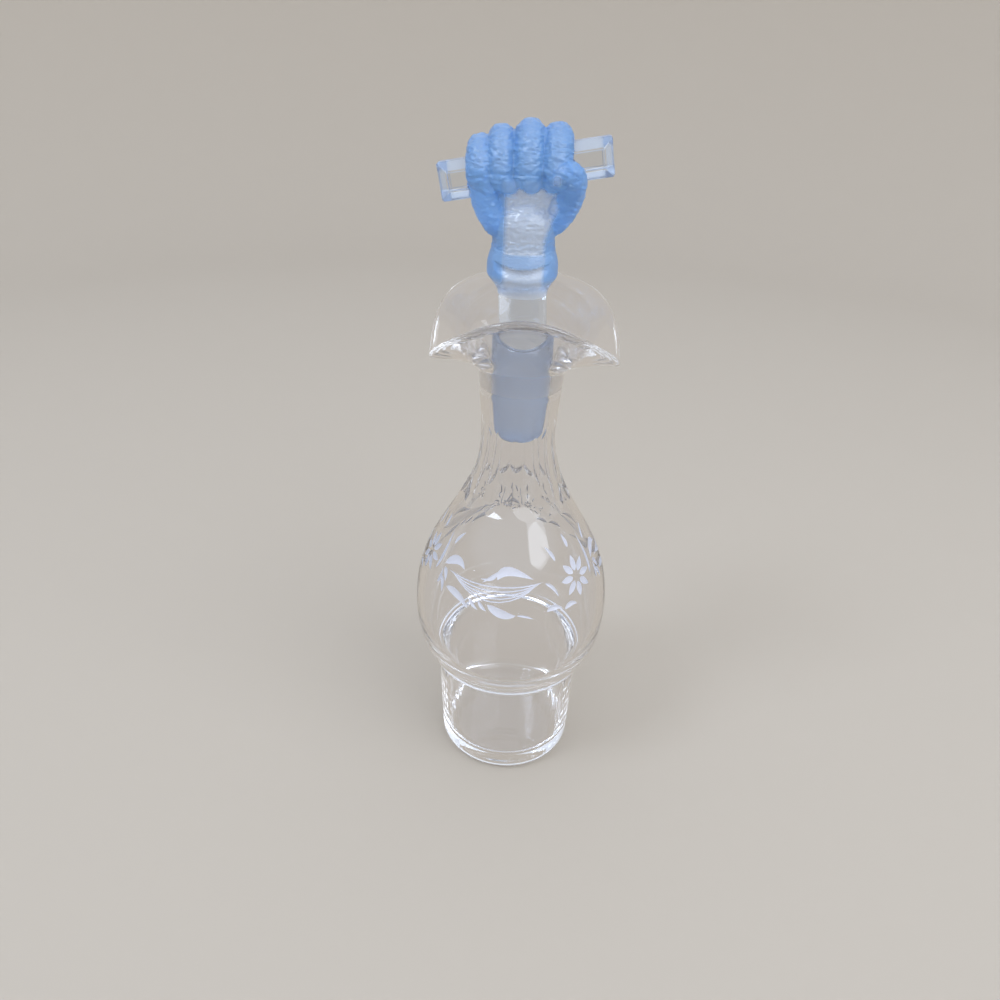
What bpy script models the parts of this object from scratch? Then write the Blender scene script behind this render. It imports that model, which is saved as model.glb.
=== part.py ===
"""Cruet carafe of clear glass, with a ground stopper shaped as a fist that grips a bar.

Metres, +Z up, the origin at the middle of the foot's underside. The fist's palm side looks
along -Y, and the lip's two spouts point along -X and +X.
"""

import math

import bmesh
import bpy
from mathutils import Matrix, Vector
from mathutils.geometry import interpolate_bezier

MM = 0.001

# Foot: the slightly tapered cylinder that drops into the ring of a cruet frame
FOOT_HEIGHT = 37.0 * MM
FOOT_BASE_RADIUS = 21.5 * MM
FOOT_TOP_RADIUS = 22.6 * MM
FOOT_EDGE_ROUND = 3.5 * MM
FOOT_WALL = 2.4 * MM
FOOT_FLOOR = 4.5 * MM
FOOT_HOLLOW_ROUND = 4.0 * MM

# Ledge: the flat step that rests on the ring
LEDGE_WIDTH = 2.2 * MM
LEDGE_BAND = 1.3 * MM

# Body: from the ledge to its widest level, then the shoulder up to the neck's waist
BODY_RADIUS = 29.4 * MM
BELLY_HEIGHT = 17.7 * MM
SHOULDER_HEIGHT = 60.0 * MM
BODY_WALL = 2.2 * MM
BELLY_START_SHARES = (0.62, 0.2)
BELLY_END_SHARE = 0.4
SHOULDER_START_SHARE = 0.46
SHOULDER_END_SHARE = 0.47

# Neck, from its waist up to where the lip flares, with its walls round the bore and the socket
NECK_WALL = 2.4 * MM
NECK_TOP_WALL = 3.2 * MM
NECK_HEIGHT = 15.0 * MM
NECK_CURVE_SHARE = 0.35

# Flutes: flat panels cut round the neck, with round ends on the shoulder
FLUTE_COUNT = 10
FLUTE_TURN = math.radians(14.5)
FLUTE_BELOW_WAIST = 23.0 * MM
FLUTE_RUN_OUT = 6.0 * MM
FLUTE_TOP_MARGIN = 2.0 * MM

# Lip: a flared mouth pinched into a saddle, low at the two spouts, high at front and back
LIP_LEFT_REACH = 24.3 * MM
LIP_RIGHT_REACH = 25.5 * MM
LIP_DEPTH = 21.0 * MM
LIP_SQUARENESS = 2.3
SPOUT_RISE = 3.9 * MM
LIP_BACK_RISE = 17.0 * MM
LIP_FRONT_RISE = 14.8 * MM
LIP_RISE_POWER = 1.5
LIP_BACK_FULLNESS = 0.3
LIP_FRONT_FULLNESS = 20.0
LIP_THICKNESS = 1.6 * MM
SPOUT_THICKNESS = 2.4 * MM
LIP_THROAT_RISE = 2.2 * MM
LIP_THROAT_SHARE = 0.3
RIM_DROP_SHARE = 0.25

# Ground plug of the stopper, and the clearance that the socket keeps round it
PLUG_TOP_RADIUS = 7.8 * MM
PLUG_END_RADIUS = 6.6 * MM
PLUG_LENGTH = 20.0 * MM
PLUG_END_ROUND = 2.4 * MM
PLUG_ABOVE_NECK = 1.3 * MM
PLUG_GAP = 0.3 * MM
SOCKET_LENGTH = 6.0 * MM
SOCKET_RELIEF = 0.25 * MM

# Shank, flare, cuff and wrist of the stopper
PLUG_SHOULDER = 6.5 * MM
PLUG_SHOULDER_ROUND = 0.8 * MM
SHANK_RADIUS = 6.1 * MM
SHANK_LENGTH = 12.5 * MM
CUFF_RADIUS = 8.75 * MM
CUFF_FLARE = 5.2 * MM
CUFF_FLARE_SHARES = (0.5, 0.25)
CUFF_BAND = 2.6 * MM
WRIST_RADIUS = 7.5 * MM
WRIST_RISE = 5.0 * MM
WRIST_CURVE_SHARE = 0.4
WRIST_TOP_RADIUS = 7.9 * MM
WRIST_TOP_RISE = 3.6 * MM
WRIST_TOP_CURVE_SHARE = 0.5
WRIST_DOME = 6.5 * MM
WRIST_DOME_SHARE = 0.5
HAND_OFFSET = -1.0 * MM

# Fist, measured from the wrist's narrowest level and from the hand's middle
PALM_HALF_WIDTH = 14.1 * MM
PALM_HALF_DEPTH = 7.8 * MM
PALM_DROP = 14.5 * MM
PALM_CROWN = 8.0 * MM
PALM_RISE = 14.0 * MM
PALM_BACKWARDS = 0.8 * MM
FINGER_LOOP_DEPTH = 5.2 * MM
FINGER_BACK_RISE = 14.5 * MM
FINGER_START = math.radians(-40.0)

# Bar gripped by the fist
BAR_LENGTH = 40.2 * MM
BAR_SIDE = 8.5 * MM
BAR_CHAMFER = 2.0 * MM
BAR_END_CHAMFER = 0.7 * MM
BAR_RISE = 15.5 * MM
BAR_SHIFT = -0.3 * MM
BAR_TILT = math.radians(-10.0)

# How finely round forms are divided
BOTTLE_STEPS = 60
STOPPER_STEPS = 40
SHOULDER_STEPS = 12
CURVE_STEPS = 8
BELLY_STEPS = 6
LIP_STEPS = 6
ROUND_STEPS = 4
PALM_SEGMENTS = 20
PALM_RINGS = 13
TUBE_RESOLUTION = 4
SMOOTH_ANGLE = math.radians(40.0)
MERGE_DISTANCE = 0.01 * MM

# Glass: its colours, how rough its surface is, and how strongly it bends light
CLEAR_COLOUR = (0.93, 0.95, 0.97, 1.0)
CLEAR_ROUGHNESS = 0.02
FROSTED_COLOUR = (0.75, 0.84, 0.96, 1.0)
FROSTED_ROUGHNESS = 0.35
GLASS_IOR = 1.5

# Levels and radii that follow from the sizes above
LEDGE_Z = FOOT_HEIGHT
LEDGE_RADIUS = FOOT_TOP_RADIUS + LEDGE_WIDTH
BELLY_FOOT_Z = LEDGE_Z + LEDGE_BAND
WIDEST_Z = BELLY_FOOT_Z + BELLY_HEIGHT
WAIST_Z = WIDEST_Z + SHOULDER_HEIGHT
NECK_TOP_Z = WAIST_Z + NECK_HEIGHT
PLUG_TOP_Z = NECK_TOP_Z + PLUG_ABOVE_NECK
PLUG_TAPER = (PLUG_TOP_RADIUS - PLUG_END_RADIUS) / PLUG_LENGTH
SOCKET_TOP_RADIUS = PLUG_TOP_RADIUS + PLUG_GAP
SOCKET_BOTTOM_RADIUS = SOCKET_TOP_RADIUS - PLUG_TAPER * SOCKET_LENGTH
SOCKET_BOTTOM_Z = PLUG_TOP_Z - SOCKET_LENGTH
BORE_RADIUS = SOCKET_BOTTOM_RADIUS + SOCKET_RELIEF
NECK_RADIUS = BORE_RADIUS + NECK_WALL
NECK_TOP_RADIUS = SOCKET_TOP_RADIUS + NECK_TOP_WALL
LIP_TUBE = LIP_BACK_RISE
CUFF_Z = PLUG_TOP_Z + PLUG_SHOULDER + SHANK_LENGTH + CUFF_FLARE
WRIST_Z = CUFF_Z + CUFF_BAND + WRIST_RISE


class Finger:
    """One curled finger: its place across the hand and how high and low it reaches."""

    def __init__(self, name, top_x, tip_x, top_rise, tip_rise, radius):
        self.name = name
        self.top_x = top_x
        self.tip_x = tip_x
        self.top_rise = top_rise
        self.tip_rise = tip_rise
        self.radius = radius


FINGERS = (
    Finger("little", -11.1 * MM, -9.0 * MM, 22.6 * MM, 8.9 * MM, 3.1 * MM),
    Finger("ring", -5.9 * MM, -4.0 * MM, 24.8 * MM, 9.3 * MM, 3.2 * MM),
    Finger("middle", 0.5 * MM, 1.4 * MM, 26.1 * MM, 9.8 * MM, 3.6 * MM),
    Finger("index", 6.8 * MM, 6.4 * MM, 25.6 * MM, 10.3 * MM, 3.6 * MM),
)
FINGER_END_SHARES = (0.55, 0.85)

# Thumb, from the heel of the hand up and over the index finger. Each place is across from the
# hand's middle, forwards from it, and above the wrist.
THUMB_RADIUS = 3.4 * MM
THUMB_START = (5.0 * MM, 0.0 * MM, 3.5 * MM)
THUMB_START_HANDLE = (12.0 * MM, 1.6 * MM, 7.4 * MM)
THUMB_END_HANDLE = (13.8 * MM, 9.2 * MM, 17.6 * MM)
THUMB_END = (4.4 * MM, 8.4 * MM, 13.8 * MM)
THUMB_RADIUS_SHARES = (1.1, 1.1, 1.1, 1.05, 1.0, 1.0, 1.0, 0.85, 0.5)


def clear_scene():
    """Remove whatever the opened file holds."""
    for item in list(bpy.data.objects):
        bpy.data.objects.remove(item, do_unlink=True)


def new_collection(name):
    """Make a collection in the scene."""
    collection = bpy.data.collections.new(name)
    bpy.context.scene.collection.children.link(collection)
    return collection


def glass(name, colour, roughness):
    """Make a glass material."""
    material = bpy.data.materials.new(name)
    material.use_nodes = True
    shader = material.node_tree.nodes["Principled BSDF"]
    shader.inputs["Base Color"].default_value = colour
    shader.inputs["Roughness"].default_value = roughness
    shader.inputs["Metallic"].default_value = 0.0
    shader.inputs["IOR"].default_value = GLASS_IOR
    shader.inputs["Transmission Weight"].default_value = 1.0
    return material


def add_object(name, mesh, collection):
    """Put a mesh in the scene under a name."""
    item = bpy.data.objects.new(name, mesh)
    collection.objects.link(item)
    return item


def as_guide(item):
    """Show a shape that only serves another one as a wire."""
    item.hide_render = True
    item.display_type = "WIRE"
    return item


def flatten(item):
    """Return an object's evaluated shape as a new mesh, in world space."""
    bpy.context.view_layer.update()
    evaluated = item.evaluated_get(bpy.context.evaluated_depsgraph_get())
    mesh = bpy.data.meshes.new_from_object(evaluated)
    mesh.transform(item.matrix_world)
    return mesh


def arc(middle, radius, start, end):
    """List the points of an arc in the profile's plane, from one angle to another."""
    points = []
    for step in range(ROUND_STEPS + 1):
        angle = math.radians(start + (end - start) * step / ROUND_STEPS)
        points.append((middle[0] + radius * math.cos(angle), middle[1] + radius * math.sin(angle)))
    return points


def curve(start, start_handle, end_handle, end, steps):
    """List the points of a Bezier stretch, which is given as radius and height pairs."""
    knots = [Vector((radius, 0, height)) for radius, height in (start, start_handle, end_handle, end)]
    return [(point.x, point.z) for point in interpolate_bezier(*knots, steps + 1)]


def swerve(start, end, start_share, end_share, steps):
    """List the points of an S-shaped stretch, upright at both ends, with handles of its height."""
    height = end[1] - start[1]
    return curve(start, (start[0], start[1] + start_share * height),
                 (end[0], end[1] - end_share * height), end, steps)


def turned(name, profile, steps, collection):
    """Turn a profile of radius and height pairs, ordered down the outer side, about the Z axis."""
    mesh = bpy.data.meshes.new(name)
    mesh.from_pydata([(radius, 0, height) for radius, height in profile],
                     [(index, index + 1) for index in range(len(profile) - 1)], [])
    item = add_object(name, mesh, collection)
    screw = item.modifiers.new("turn", "SCREW")
    screw.axis = "Z"
    screw.steps = steps
    screw.render_steps = steps
    screw.use_merge_vertices = True
    screw.merge_threshold = MERGE_DISTANCE
    solid = flatten(item)
    bpy.data.objects.remove(item)
    return solid


def belly(ledge_radius, widest_radius, foot_z):
    """List the curve from the ledge up to the body's widest level."""
    swell = widest_radius - ledge_radius
    rise = WIDEST_Z - foot_z
    start_out, start_up = BELLY_START_SHARES
    return curve((ledge_radius, foot_z),
                 (ledge_radius + start_out * swell, foot_z + start_up * rise),
                 (widest_radius, WIDEST_Z - BELLY_END_SHARE * rise),
                 (widest_radius, WIDEST_Z), BELLY_STEPS)


def shoulder(widest_radius, waist_radius):
    """List the S-shaped curve from the widest level up to the neck's waist."""
    return swerve((widest_radius, WIDEST_Z), (waist_radius, WAIST_Z),
                  SHOULDER_START_SHARE, SHOULDER_END_SHARE, SHOULDER_STEPS)


def outer_wall():
    """List the bottle's outside from the foot's rounded edge up to the top of the neck."""
    edge_middle = (FOOT_BASE_RADIUS - FOOT_EDGE_ROUND, FOOT_EDGE_ROUND)
    wall = arc(edge_middle, FOOT_EDGE_ROUND, -90, 0)
    wall.append((FOOT_TOP_RADIUS, LEDGE_Z))
    wall.append((LEDGE_RADIUS, LEDGE_Z))
    wall += belly(LEDGE_RADIUS, BODY_RADIUS, BELLY_FOOT_Z)
    wall += shoulder(BODY_RADIUS, NECK_RADIUS)[1:]
    wall += swerve((NECK_RADIUS, WAIST_Z), (NECK_TOP_RADIUS, NECK_TOP_Z),
                   NECK_CURVE_SHARE, NECK_CURVE_SHARE, ROUND_STEPS)[1:]
    return wall


def inner_wall():
    """List the hollow's side from the middle of its floor up to the top of the socket."""
    floor_radius = FOOT_BASE_RADIUS - FOOT_WALL
    round_middle = (floor_radius - FOOT_HOLLOW_ROUND, FOOT_FLOOR + FOOT_HOLLOW_ROUND)
    wall = [(0, FOOT_FLOOR)]
    wall += arc(round_middle, FOOT_HOLLOW_ROUND, -90, 0)
    wall.append((FOOT_TOP_RADIUS - FOOT_WALL, LEDGE_Z - LEDGE_BAND))
    wall += belly(LEDGE_RADIUS - BODY_WALL, BODY_RADIUS - BODY_WALL, BELLY_FOOT_Z + BODY_WALL)
    wall += shoulder(BODY_RADIUS - BODY_WALL, BORE_RADIUS)[1:]
    wall.append((BORE_RADIUS, SOCKET_BOTTOM_Z - SOCKET_RELIEF))
    wall.append((SOCKET_BOTTOM_RADIUS, SOCKET_BOTTOM_Z))
    wall.append((SOCKET_TOP_RADIUS, PLUG_TOP_Z))
    return wall


def lip_tube():
    """List the lip's section as a straight tube, up its inside, over its rim and down its outside.

    pinch() then flares it into its saddle.
    """
    shares = [step / LIP_STEPS for step in range(1, LIP_STEPS + 1)]
    inside = [(SOCKET_TOP_RADIUS, PLUG_TOP_Z + share * LIP_TUBE) for share in shares]
    outside = [(NECK_TOP_RADIUS, NECK_TOP_Z + share * LIP_TUBE) for share in reversed(shares)]
    rim = []
    for step in range(1, ROUND_STEPS):
        angle = math.pi * step / ROUND_STEPS
        outwards = (1 - math.cos(angle)) / 2
        level = PLUG_TOP_Z - outwards * PLUG_ABOVE_NECK + LIP_TUBE
        rim.append((SOCKET_TOP_RADIUS + outwards * NECK_TOP_WALL,
                    level + NECK_TOP_WALL / 2 * math.sin(angle)))
    return inside + rim + outside


def quadratic(start, handle, end, share):
    """Give a point on a curve with one handle."""
    return start.lerp(handle, share).lerp(handle.lerp(end, share), share)


def rim_section(angle):
    """Give the rim's middle, the way the lip runs there, and its thickness, at an angle."""
    along = abs(math.cos(angle))
    across = abs(math.sin(angle))
    reach = LIP_RIGHT_REACH if math.cos(angle) > 0 else LIP_LEFT_REACH
    inverse = (along / reach) ** LIP_SQUARENESS + (across / LIP_DEPTH) ** LIP_SQUARENESS
    radius = inverse ** (-1 / LIP_SQUARENESS)
    fullness = LIP_BACK_FULLNESS if math.sin(angle) > 0 else LIP_FRONT_FULLNESS
    rise = LIP_BACK_RISE if math.sin(angle) > 0 else LIP_FRONT_RISE
    swing = across ** LIP_RISE_POWER
    climb = rise * (1 + fullness) * swing / (swing + fullness)
    thickness = SPOUT_THICKNESS + (LIP_THICKNESS - SPOUT_THICKNESS) * across
    throat = Vector((NECK_TOP_RADIUS, NECK_TOP_Z + LIP_THROAT_RISE + LIP_THROAT_SHARE * climb))
    edge = Vector((radius - thickness / 2,
                   NECK_TOP_Z + SPOUT_RISE - RIM_DROP_SHARE * thickness + climb))
    return throat, edge, thickness


def pinch(mesh):
    """Flare the straight lip tube and pinch it into a saddle with two spouts."""
    for vertex in mesh.vertices:
        outwards = (math.hypot(vertex.co.x, vertex.co.y) - SOCKET_TOP_RADIUS) / NECK_TOP_WALL
        level = PLUG_TOP_Z - outwards * PLUG_ABOVE_NECK
        above = vertex.co.z - level
        if above < MERGE_DISTANCE or outwards < -MERGE_DISTANCE / NECK_TOP_WALL:
            continue
        share = min(above / LIP_TUBE, 1)
        angle = math.atan2(vertex.co.y, vertex.co.x)
        throat, edge, thickness = rim_section(angle)
        run = (edge - throat).normalized()
        inwards = Vector((-run.y, run.x)) * thickness / 2
        under = quadratic(Vector((NECK_TOP_RADIUS, NECK_TOP_Z)), throat, edge - inwards, share)
        handle = throat + Vector((-NECK_TOP_WALL, PLUG_ABOVE_NECK))
        over = quadratic(Vector((SOCKET_TOP_RADIUS, PLUG_TOP_Z)), handle, edge + inwards, share)
        place = over.lerp(under, outwards)
        place += run * max(above - LIP_TUBE, 0) * thickness / NECK_TOP_WALL
        vertex.co.x = place.x * math.cos(angle)
        vertex.co.y = place.x * math.sin(angle)
        vertex.co.z = place.y


def radius_at(wall, height):
    """Give a wall's radius at a height by the straight line between its two nearest points."""
    for (low_radius, low), (high_radius, high) in zip(wall, wall[1:]):
        if low <= height <= high and high > low:
            return low_radius + (high_radius - low_radius) * (height - low) / (high - low)
    return wall[-1][0]


def cut_flutes(mesh, wall):
    """Cut flat panels round the neck, which run out in round ends on the shoulder."""
    bottom = WAIST_Z - FLUTE_BELOW_WAIST
    top = NECK_TOP_Z - FLUTE_TOP_MARGIN
    pitch = 2 * math.pi / FLUTE_COUNT
    for vertex in mesh.vertices:
        height = vertex.co.z
        radius = math.hypot(vertex.co.x, vertex.co.y)
        if not bottom < height < top or radius < radius_at(wall, height) - BODY_WALL / 2:
            continue
        share = min((height - bottom) / FLUTE_RUN_OUT, (top - height) / FLUTE_RUN_OUT, 1)
        turn = math.atan2(vertex.co.y, vertex.co.x) + math.pi / 2 - FLUTE_TURN
        offset = (turn + pitch / 2) % pitch - pitch / 2
        flat = radius * (1 - share * (1 - math.cos(pitch / 2)))
        scale = min(1, flat / math.cos(offset) / radius)
        vertex.co.x *= scale
        vertex.co.y *= scale


def make_bottle(collection):
    """Make the bottle as one closed wall, open only at its mouth."""
    outer = outer_wall()
    profile = inner_wall() + lip_tube() + list(reversed(outer)) + [(0, 0)]
    mesh = turned("bottle", profile, BOTTLE_STEPS, collection)
    mesh.transform(Matrix.Rotation(FLUTE_TURN, 4, "Z"))
    cut_flutes(mesh, outer)
    pinch(mesh)
    item = add_object("bottle", mesh, collection)
    item.data.shade_smooth()
    item.data.set_sharp_from_angle(angle=SMOOTH_ANGLE)
    item.data.materials.append(glass("clear_glass", CLEAR_COLOUR, CLEAR_ROUGHNESS))
    return item


def stem_profile():
    """List the turned part of the stopper, from inside the fist down to the plug's end."""
    plug_end_z = PLUG_TOP_Z - PLUG_LENGTH
    shoulder_z = PLUG_TOP_Z + PLUG_SHOULDER
    wrist_top = (WRIST_TOP_RADIUS, WRIST_Z + WRIST_TOP_RISE)
    dome_z = wrist_top[1] + WRIST_DOME
    profile = curve((0, dome_z), (WRIST_DOME_SHARE * WRIST_TOP_RADIUS, dome_z),
                    (WRIST_TOP_RADIUS, wrist_top[1] + WRIST_DOME_SHARE * WRIST_DOME), wrist_top,
                    ROUND_STEPS)
    profile += swerve(wrist_top, (WRIST_RADIUS, WRIST_Z),
                      WRIST_TOP_CURVE_SHARE, WRIST_TOP_CURVE_SHARE, ROUND_STEPS)[1:]
    profile += swerve((WRIST_RADIUS, WRIST_Z), (CUFF_RADIUS, CUFF_Z + CUFF_BAND / 2),
                      WRIST_CURVE_SHARE, WRIST_CURVE_SHARE, ROUND_STEPS)[1:]
    profile += swerve((CUFF_RADIUS, CUFF_Z), (SHANK_RADIUS, CUFF_Z - CUFF_FLARE),
                      *CUFF_FLARE_SHARES, ROUND_STEPS)
    profile.append((SHANK_RADIUS, shoulder_z + PLUG_SHOULDER_ROUND))
    profile.append((PLUG_TOP_RADIUS - PLUG_SHOULDER_ROUND, shoulder_z))
    profile.append((PLUG_TOP_RADIUS, PLUG_TOP_Z))
    round_middle = (PLUG_END_RADIUS - PLUG_END_ROUND, plug_end_z + PLUG_END_ROUND)
    profile += arc(round_middle, PLUG_END_ROUND, 0, -90)
    profile.append((0, plug_end_z))
    return profile


def shift_hand(mesh):
    """Let the cuff and wrist drift sideways off the plug's axis, up to the hand's own middle."""
    start = CUFF_Z - CUFF_FLARE
    for vertex in mesh.vertices:
        share = min(max((vertex.co.z - start) / CUFF_FLARE, 0), 1)
        vertex.co.x += share * HAND_OFFSET


def tube(name, points, radii, collection):
    """Make a tube with closed ends through points, with a radius of its own at each, as a mesh."""
    data = bpy.data.curves.new(name, "CURVE")
    data.dimensions = "3D"
    data.bevel_depth = radii[0]
    data.bevel_resolution = TUBE_RESOLUTION
    data.use_fill_caps = True
    spline = data.splines.new("POLY")
    spline.points.add(len(points) - 1)
    for knot, place, radius in zip(spline.points, points, radii):
        knot.co = (*place, 1)
        knot.radius = radius / radii[0]
    line = add_object(name, data, collection)
    mesh = flatten(line)
    bpy.data.objects.remove(line)
    closed = bmesh.new()
    closed.from_mesh(mesh)
    bmesh.ops.remove_doubles(closed, verts=closed.verts, dist=MERGE_DISTANCE)
    bmesh.ops.recalc_face_normals(closed, faces=closed.faces)
    closed.to_mesh(mesh)
    closed.free()
    return as_guide(add_object(name, mesh, collection))


def make_finger(finger, collection):
    """Make one finger, curled from its knuckle at the back over the bar to its tip in front."""
    top = WRIST_Z + finger.top_rise - finger.radius
    knuckle = WRIST_Z + FINGER_BACK_RISE
    tip = WRIST_Z + finger.tip_rise
    points = []
    for step in range(CURVE_STEPS + 1):
        turn = FINGER_START + (math.pi - FINGER_START) * step / CURVE_STEPS
        across = HAND_OFFSET + finger.top_x
        points.append((across, FINGER_LOOP_DEPTH * math.cos(turn),
                       knuckle + (top - knuckle) * math.sin(turn)))
    for step in range(1, ROUND_STEPS + 1):
        share = step / ROUND_STEPS
        across = HAND_OFFSET + finger.top_x + share * (finger.tip_x - finger.top_x)
        points.append((across, -FINGER_LOOP_DEPTH, knuckle + share * (tip - knuckle)))
    radii = [finger.radius] * len(points)
    end_share, next_share = FINGER_END_SHARES
    radii[-1] = end_share * finger.radius
    radii[-2] = next_share * finger.radius
    return tube(finger.name, points, radii, collection)


def make_thumb(collection):
    """Make the thumb, which rises from the heel of the hand and closes over the index finger."""
    knots = [Vector((HAND_OFFSET + across, -forwards, WRIST_Z + rise)) for across, forwards, rise in
             (THUMB_START, THUMB_START_HANDLE, THUMB_END_HANDLE, THUMB_END)]
    points = interpolate_bezier(*knots, len(THUMB_RADIUS_SHARES))
    radii = [share * THUMB_RADIUS for share in THUMB_RADIUS_SHARES]
    return tube("thumb", points, radii, collection)


def make_palm(collection):
    """Make the solid of the palm, back and heel of the hand, which the fingers close round."""
    mesh = bpy.data.meshes.new("palm")
    ball = bmesh.new()
    bmesh.ops.create_uvsphere(ball, u_segments=PALM_SEGMENTS, v_segments=PALM_RINGS, radius=1)
    for vertex in ball.verts:
        upright = PALM_CROWN if vertex.co.z > 0 else PALM_DROP
        vertex.co.x = HAND_OFFSET + PALM_HALF_WIDTH * vertex.co.x
        vertex.co.y = PALM_BACKWARDS + PALM_HALF_DEPTH * vertex.co.y
        vertex.co.z = WRIST_Z + PALM_RISE + upright * vertex.co.z
    ball.to_mesh(mesh)
    ball.free()
    return as_guide(add_object("palm", mesh, collection))


def make_bar(collection):
    """Make the square bar with all its edges chamfered, tilted up towards the thumb's side."""
    mesh = bpy.data.meshes.new("bar")
    block = bmesh.new()
    bmesh.ops.create_cube(block, size=1)
    bmesh.ops.scale(block, vec=(BAR_LENGTH, BAR_SIDE, BAR_SIDE), verts=block.verts)
    long_edges = [edge for edge in block.edges if edge.calc_length() > BAR_SIDE]
    bmesh.ops.bevel(block, geom=long_edges, offset=BAR_CHAMFER, segments=1, affect="EDGES")
    end_edges = [edge for edge in block.edges if edge.calc_length() < BAR_SIDE]
    bmesh.ops.bevel(block, geom=end_edges, offset=BAR_END_CHAMFER, segments=1, affect="EDGES")
    bmesh.ops.rotate(block, cent=(0, 0, 0), matrix=Matrix.Rotation(BAR_TILT, 3, "Y"),
                     verts=block.verts)
    bmesh.ops.translate(block, vec=(HAND_OFFSET + BAR_SHIFT, 0, WRIST_Z + BAR_RISE),
                        verts=block.verts)
    block.to_mesh(mesh)
    block.free()
    return as_guide(add_object("bar", mesh, collection))


def make_stopper(collection, shapes):
    """Make the stopper: plug, shank and wrist in one turned piece, joined with the hand and bar."""
    mesh = turned("stopper", stem_profile(), STOPPER_STEPS, collection)
    shift_hand(mesh)
    item = add_object("stopper", mesh, collection)
    make_palm(shapes)
    make_bar(shapes)
    make_thumb(shapes)
    for finger in FINGERS:
        make_finger(finger, shapes)
    for shape in shapes.objects:
        union = item.modifiers.new(shape.name, "BOOLEAN")
        union.operation = "UNION"
        union.solver = "EXACT"
        union.object = shape
    item.data = flatten(item)
    item.modifiers.clear()
    item.data.shade_smooth()
    item.data.set_sharp_from_angle(angle=SMOOTH_ANGLE)
    item.data.materials.append(glass("frosted_glass", FROSTED_COLOUR, FROSTED_ROUGHNESS))
    return item


def main():
    """Build the bottle and its stopper."""
    clear_scene()
    parts = new_collection("carafe_with_stopper")
    shapes = new_collection("stopper_shapes")
    make_bottle(parts)
    make_stopper(parts, shapes)


main()
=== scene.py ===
"""Looks of a glass cruet carafe whose ground stopper is a fist round a bar, built round the frame.

Every place is in metres in the frame's own axes: +Z up, the middle of the foot's underside at the
origin, the fist's fingertips towards -Y and the lip's two spouts towards -X and +X. Angles round
the axis are in degrees from the front, -Y, towards +X.
"""

import bisect
import logging
import math
from collections.abc import Callable
from dataclasses import dataclass, field
from enum import Enum, IntEnum

import bmesh
import bpy
from mathutils import Matrix, Vector, kdtree
from mathutils.geometry import delaunay_2d_cdt, interpolate_bezier

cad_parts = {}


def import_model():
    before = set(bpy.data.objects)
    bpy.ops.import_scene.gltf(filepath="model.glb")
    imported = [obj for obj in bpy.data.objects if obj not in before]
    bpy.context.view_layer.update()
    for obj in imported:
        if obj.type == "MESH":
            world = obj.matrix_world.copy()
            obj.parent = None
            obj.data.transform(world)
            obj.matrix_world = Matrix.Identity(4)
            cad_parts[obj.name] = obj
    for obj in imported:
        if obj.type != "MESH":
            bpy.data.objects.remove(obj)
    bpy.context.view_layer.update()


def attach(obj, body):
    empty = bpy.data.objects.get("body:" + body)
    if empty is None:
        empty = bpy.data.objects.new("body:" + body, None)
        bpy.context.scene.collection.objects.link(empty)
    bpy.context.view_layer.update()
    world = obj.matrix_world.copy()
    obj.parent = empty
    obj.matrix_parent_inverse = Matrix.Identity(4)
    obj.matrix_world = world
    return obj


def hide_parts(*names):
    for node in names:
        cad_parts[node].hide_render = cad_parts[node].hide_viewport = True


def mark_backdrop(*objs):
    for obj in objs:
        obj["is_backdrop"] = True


LOG = logging.getLogger("carafe")
MM = 0.001
MERGE_DISTANCE = 0.002 * MM
ML_IN_CUBIC_METRE = 1e6
Pair = tuple[float, float]


class Surface(IntEnum):
    """How a stretch of glass was finished; the value is its number in the mesh."""

    POLISHED = 0
    WHEEL_CUT = 1
    GROUND = 2
    STREAKED = 3


class Skin(IntEnum):
    """Which rule a face's normals follow; the value is its number in the mesh."""

    MESH = 0
    TURNED = 1
    FLUTE = 2


class CutShape(Enum):
    """How the width of an engraved cut runs from its start to its end."""

    LEAF = "leaf"
    LINE = "line"


@dataclass(frozen=True)
class Pattern:
    """How a noise is laid out: its stretch along X, Y and Z, its finer detail and its bending."""

    stretch: tuple[float, float, float] = (1.0, 1.0, 1.0)
    detail: float = 0.0
    distortion: float = 0.0


class Relief(Enum):
    """What a glass surface's fine relief looks like."""

    SLOW_WAVES = Pattern()
    STREAKS = Pattern(stretch=(1.0, 1.0, 0.1), detail=1.0)
    RINGS = Pattern(stretch=(0.02, 0.02, 1.0), detail=1.0)
    GRAIN = Pattern(detail=3.0)
    RIPPLES = Pattern(stretch=(0.45, 0.45, 1.0), detail=2.0, distortion=0.6)


def linear(hex_colour: str) -> tuple[float, float, float, float]:
    """Turn an sRGB hex colour into the linear colour that shaders take.

    Args:
        hex_colour: Six hex digits, without a hash sign.

    Returns:
        Red, green, blue and alpha, from 0 to 1.
    """
    values = []
    for start in (0, 2, 4):
        share = int(hex_colour[start:start + 2], 16) / 255
        values.append(share / 12.92 if share <= 0.04045 else ((share + 0.055) / 1.055) ** 2.4)
    return (*values, 1.0)


def add_node(tree: bpy.types.NodeTree, kind: str, inputs: dict | None = None,
             **settings: object) -> bpy.types.Node:
    """Add a node, with its settings, values and links.

    Args:
        tree: The tree that gets the node.
        kind: The node's type.
        inputs: Values, or the output sockets that feed them, by socket name or number.
        settings: The node's own properties.

    Returns:
        The node.
    """
    node = tree.nodes.new(kind)
    for name, value in settings.items():
        setattr(node, name, value)
    for key, value in (inputs or {}).items():
        if isinstance(value, bpy.types.NodeSocket):
            tree.links.new(value, node.inputs[key])
        else:
            node.inputs[key].default_value = value
    return node


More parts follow.
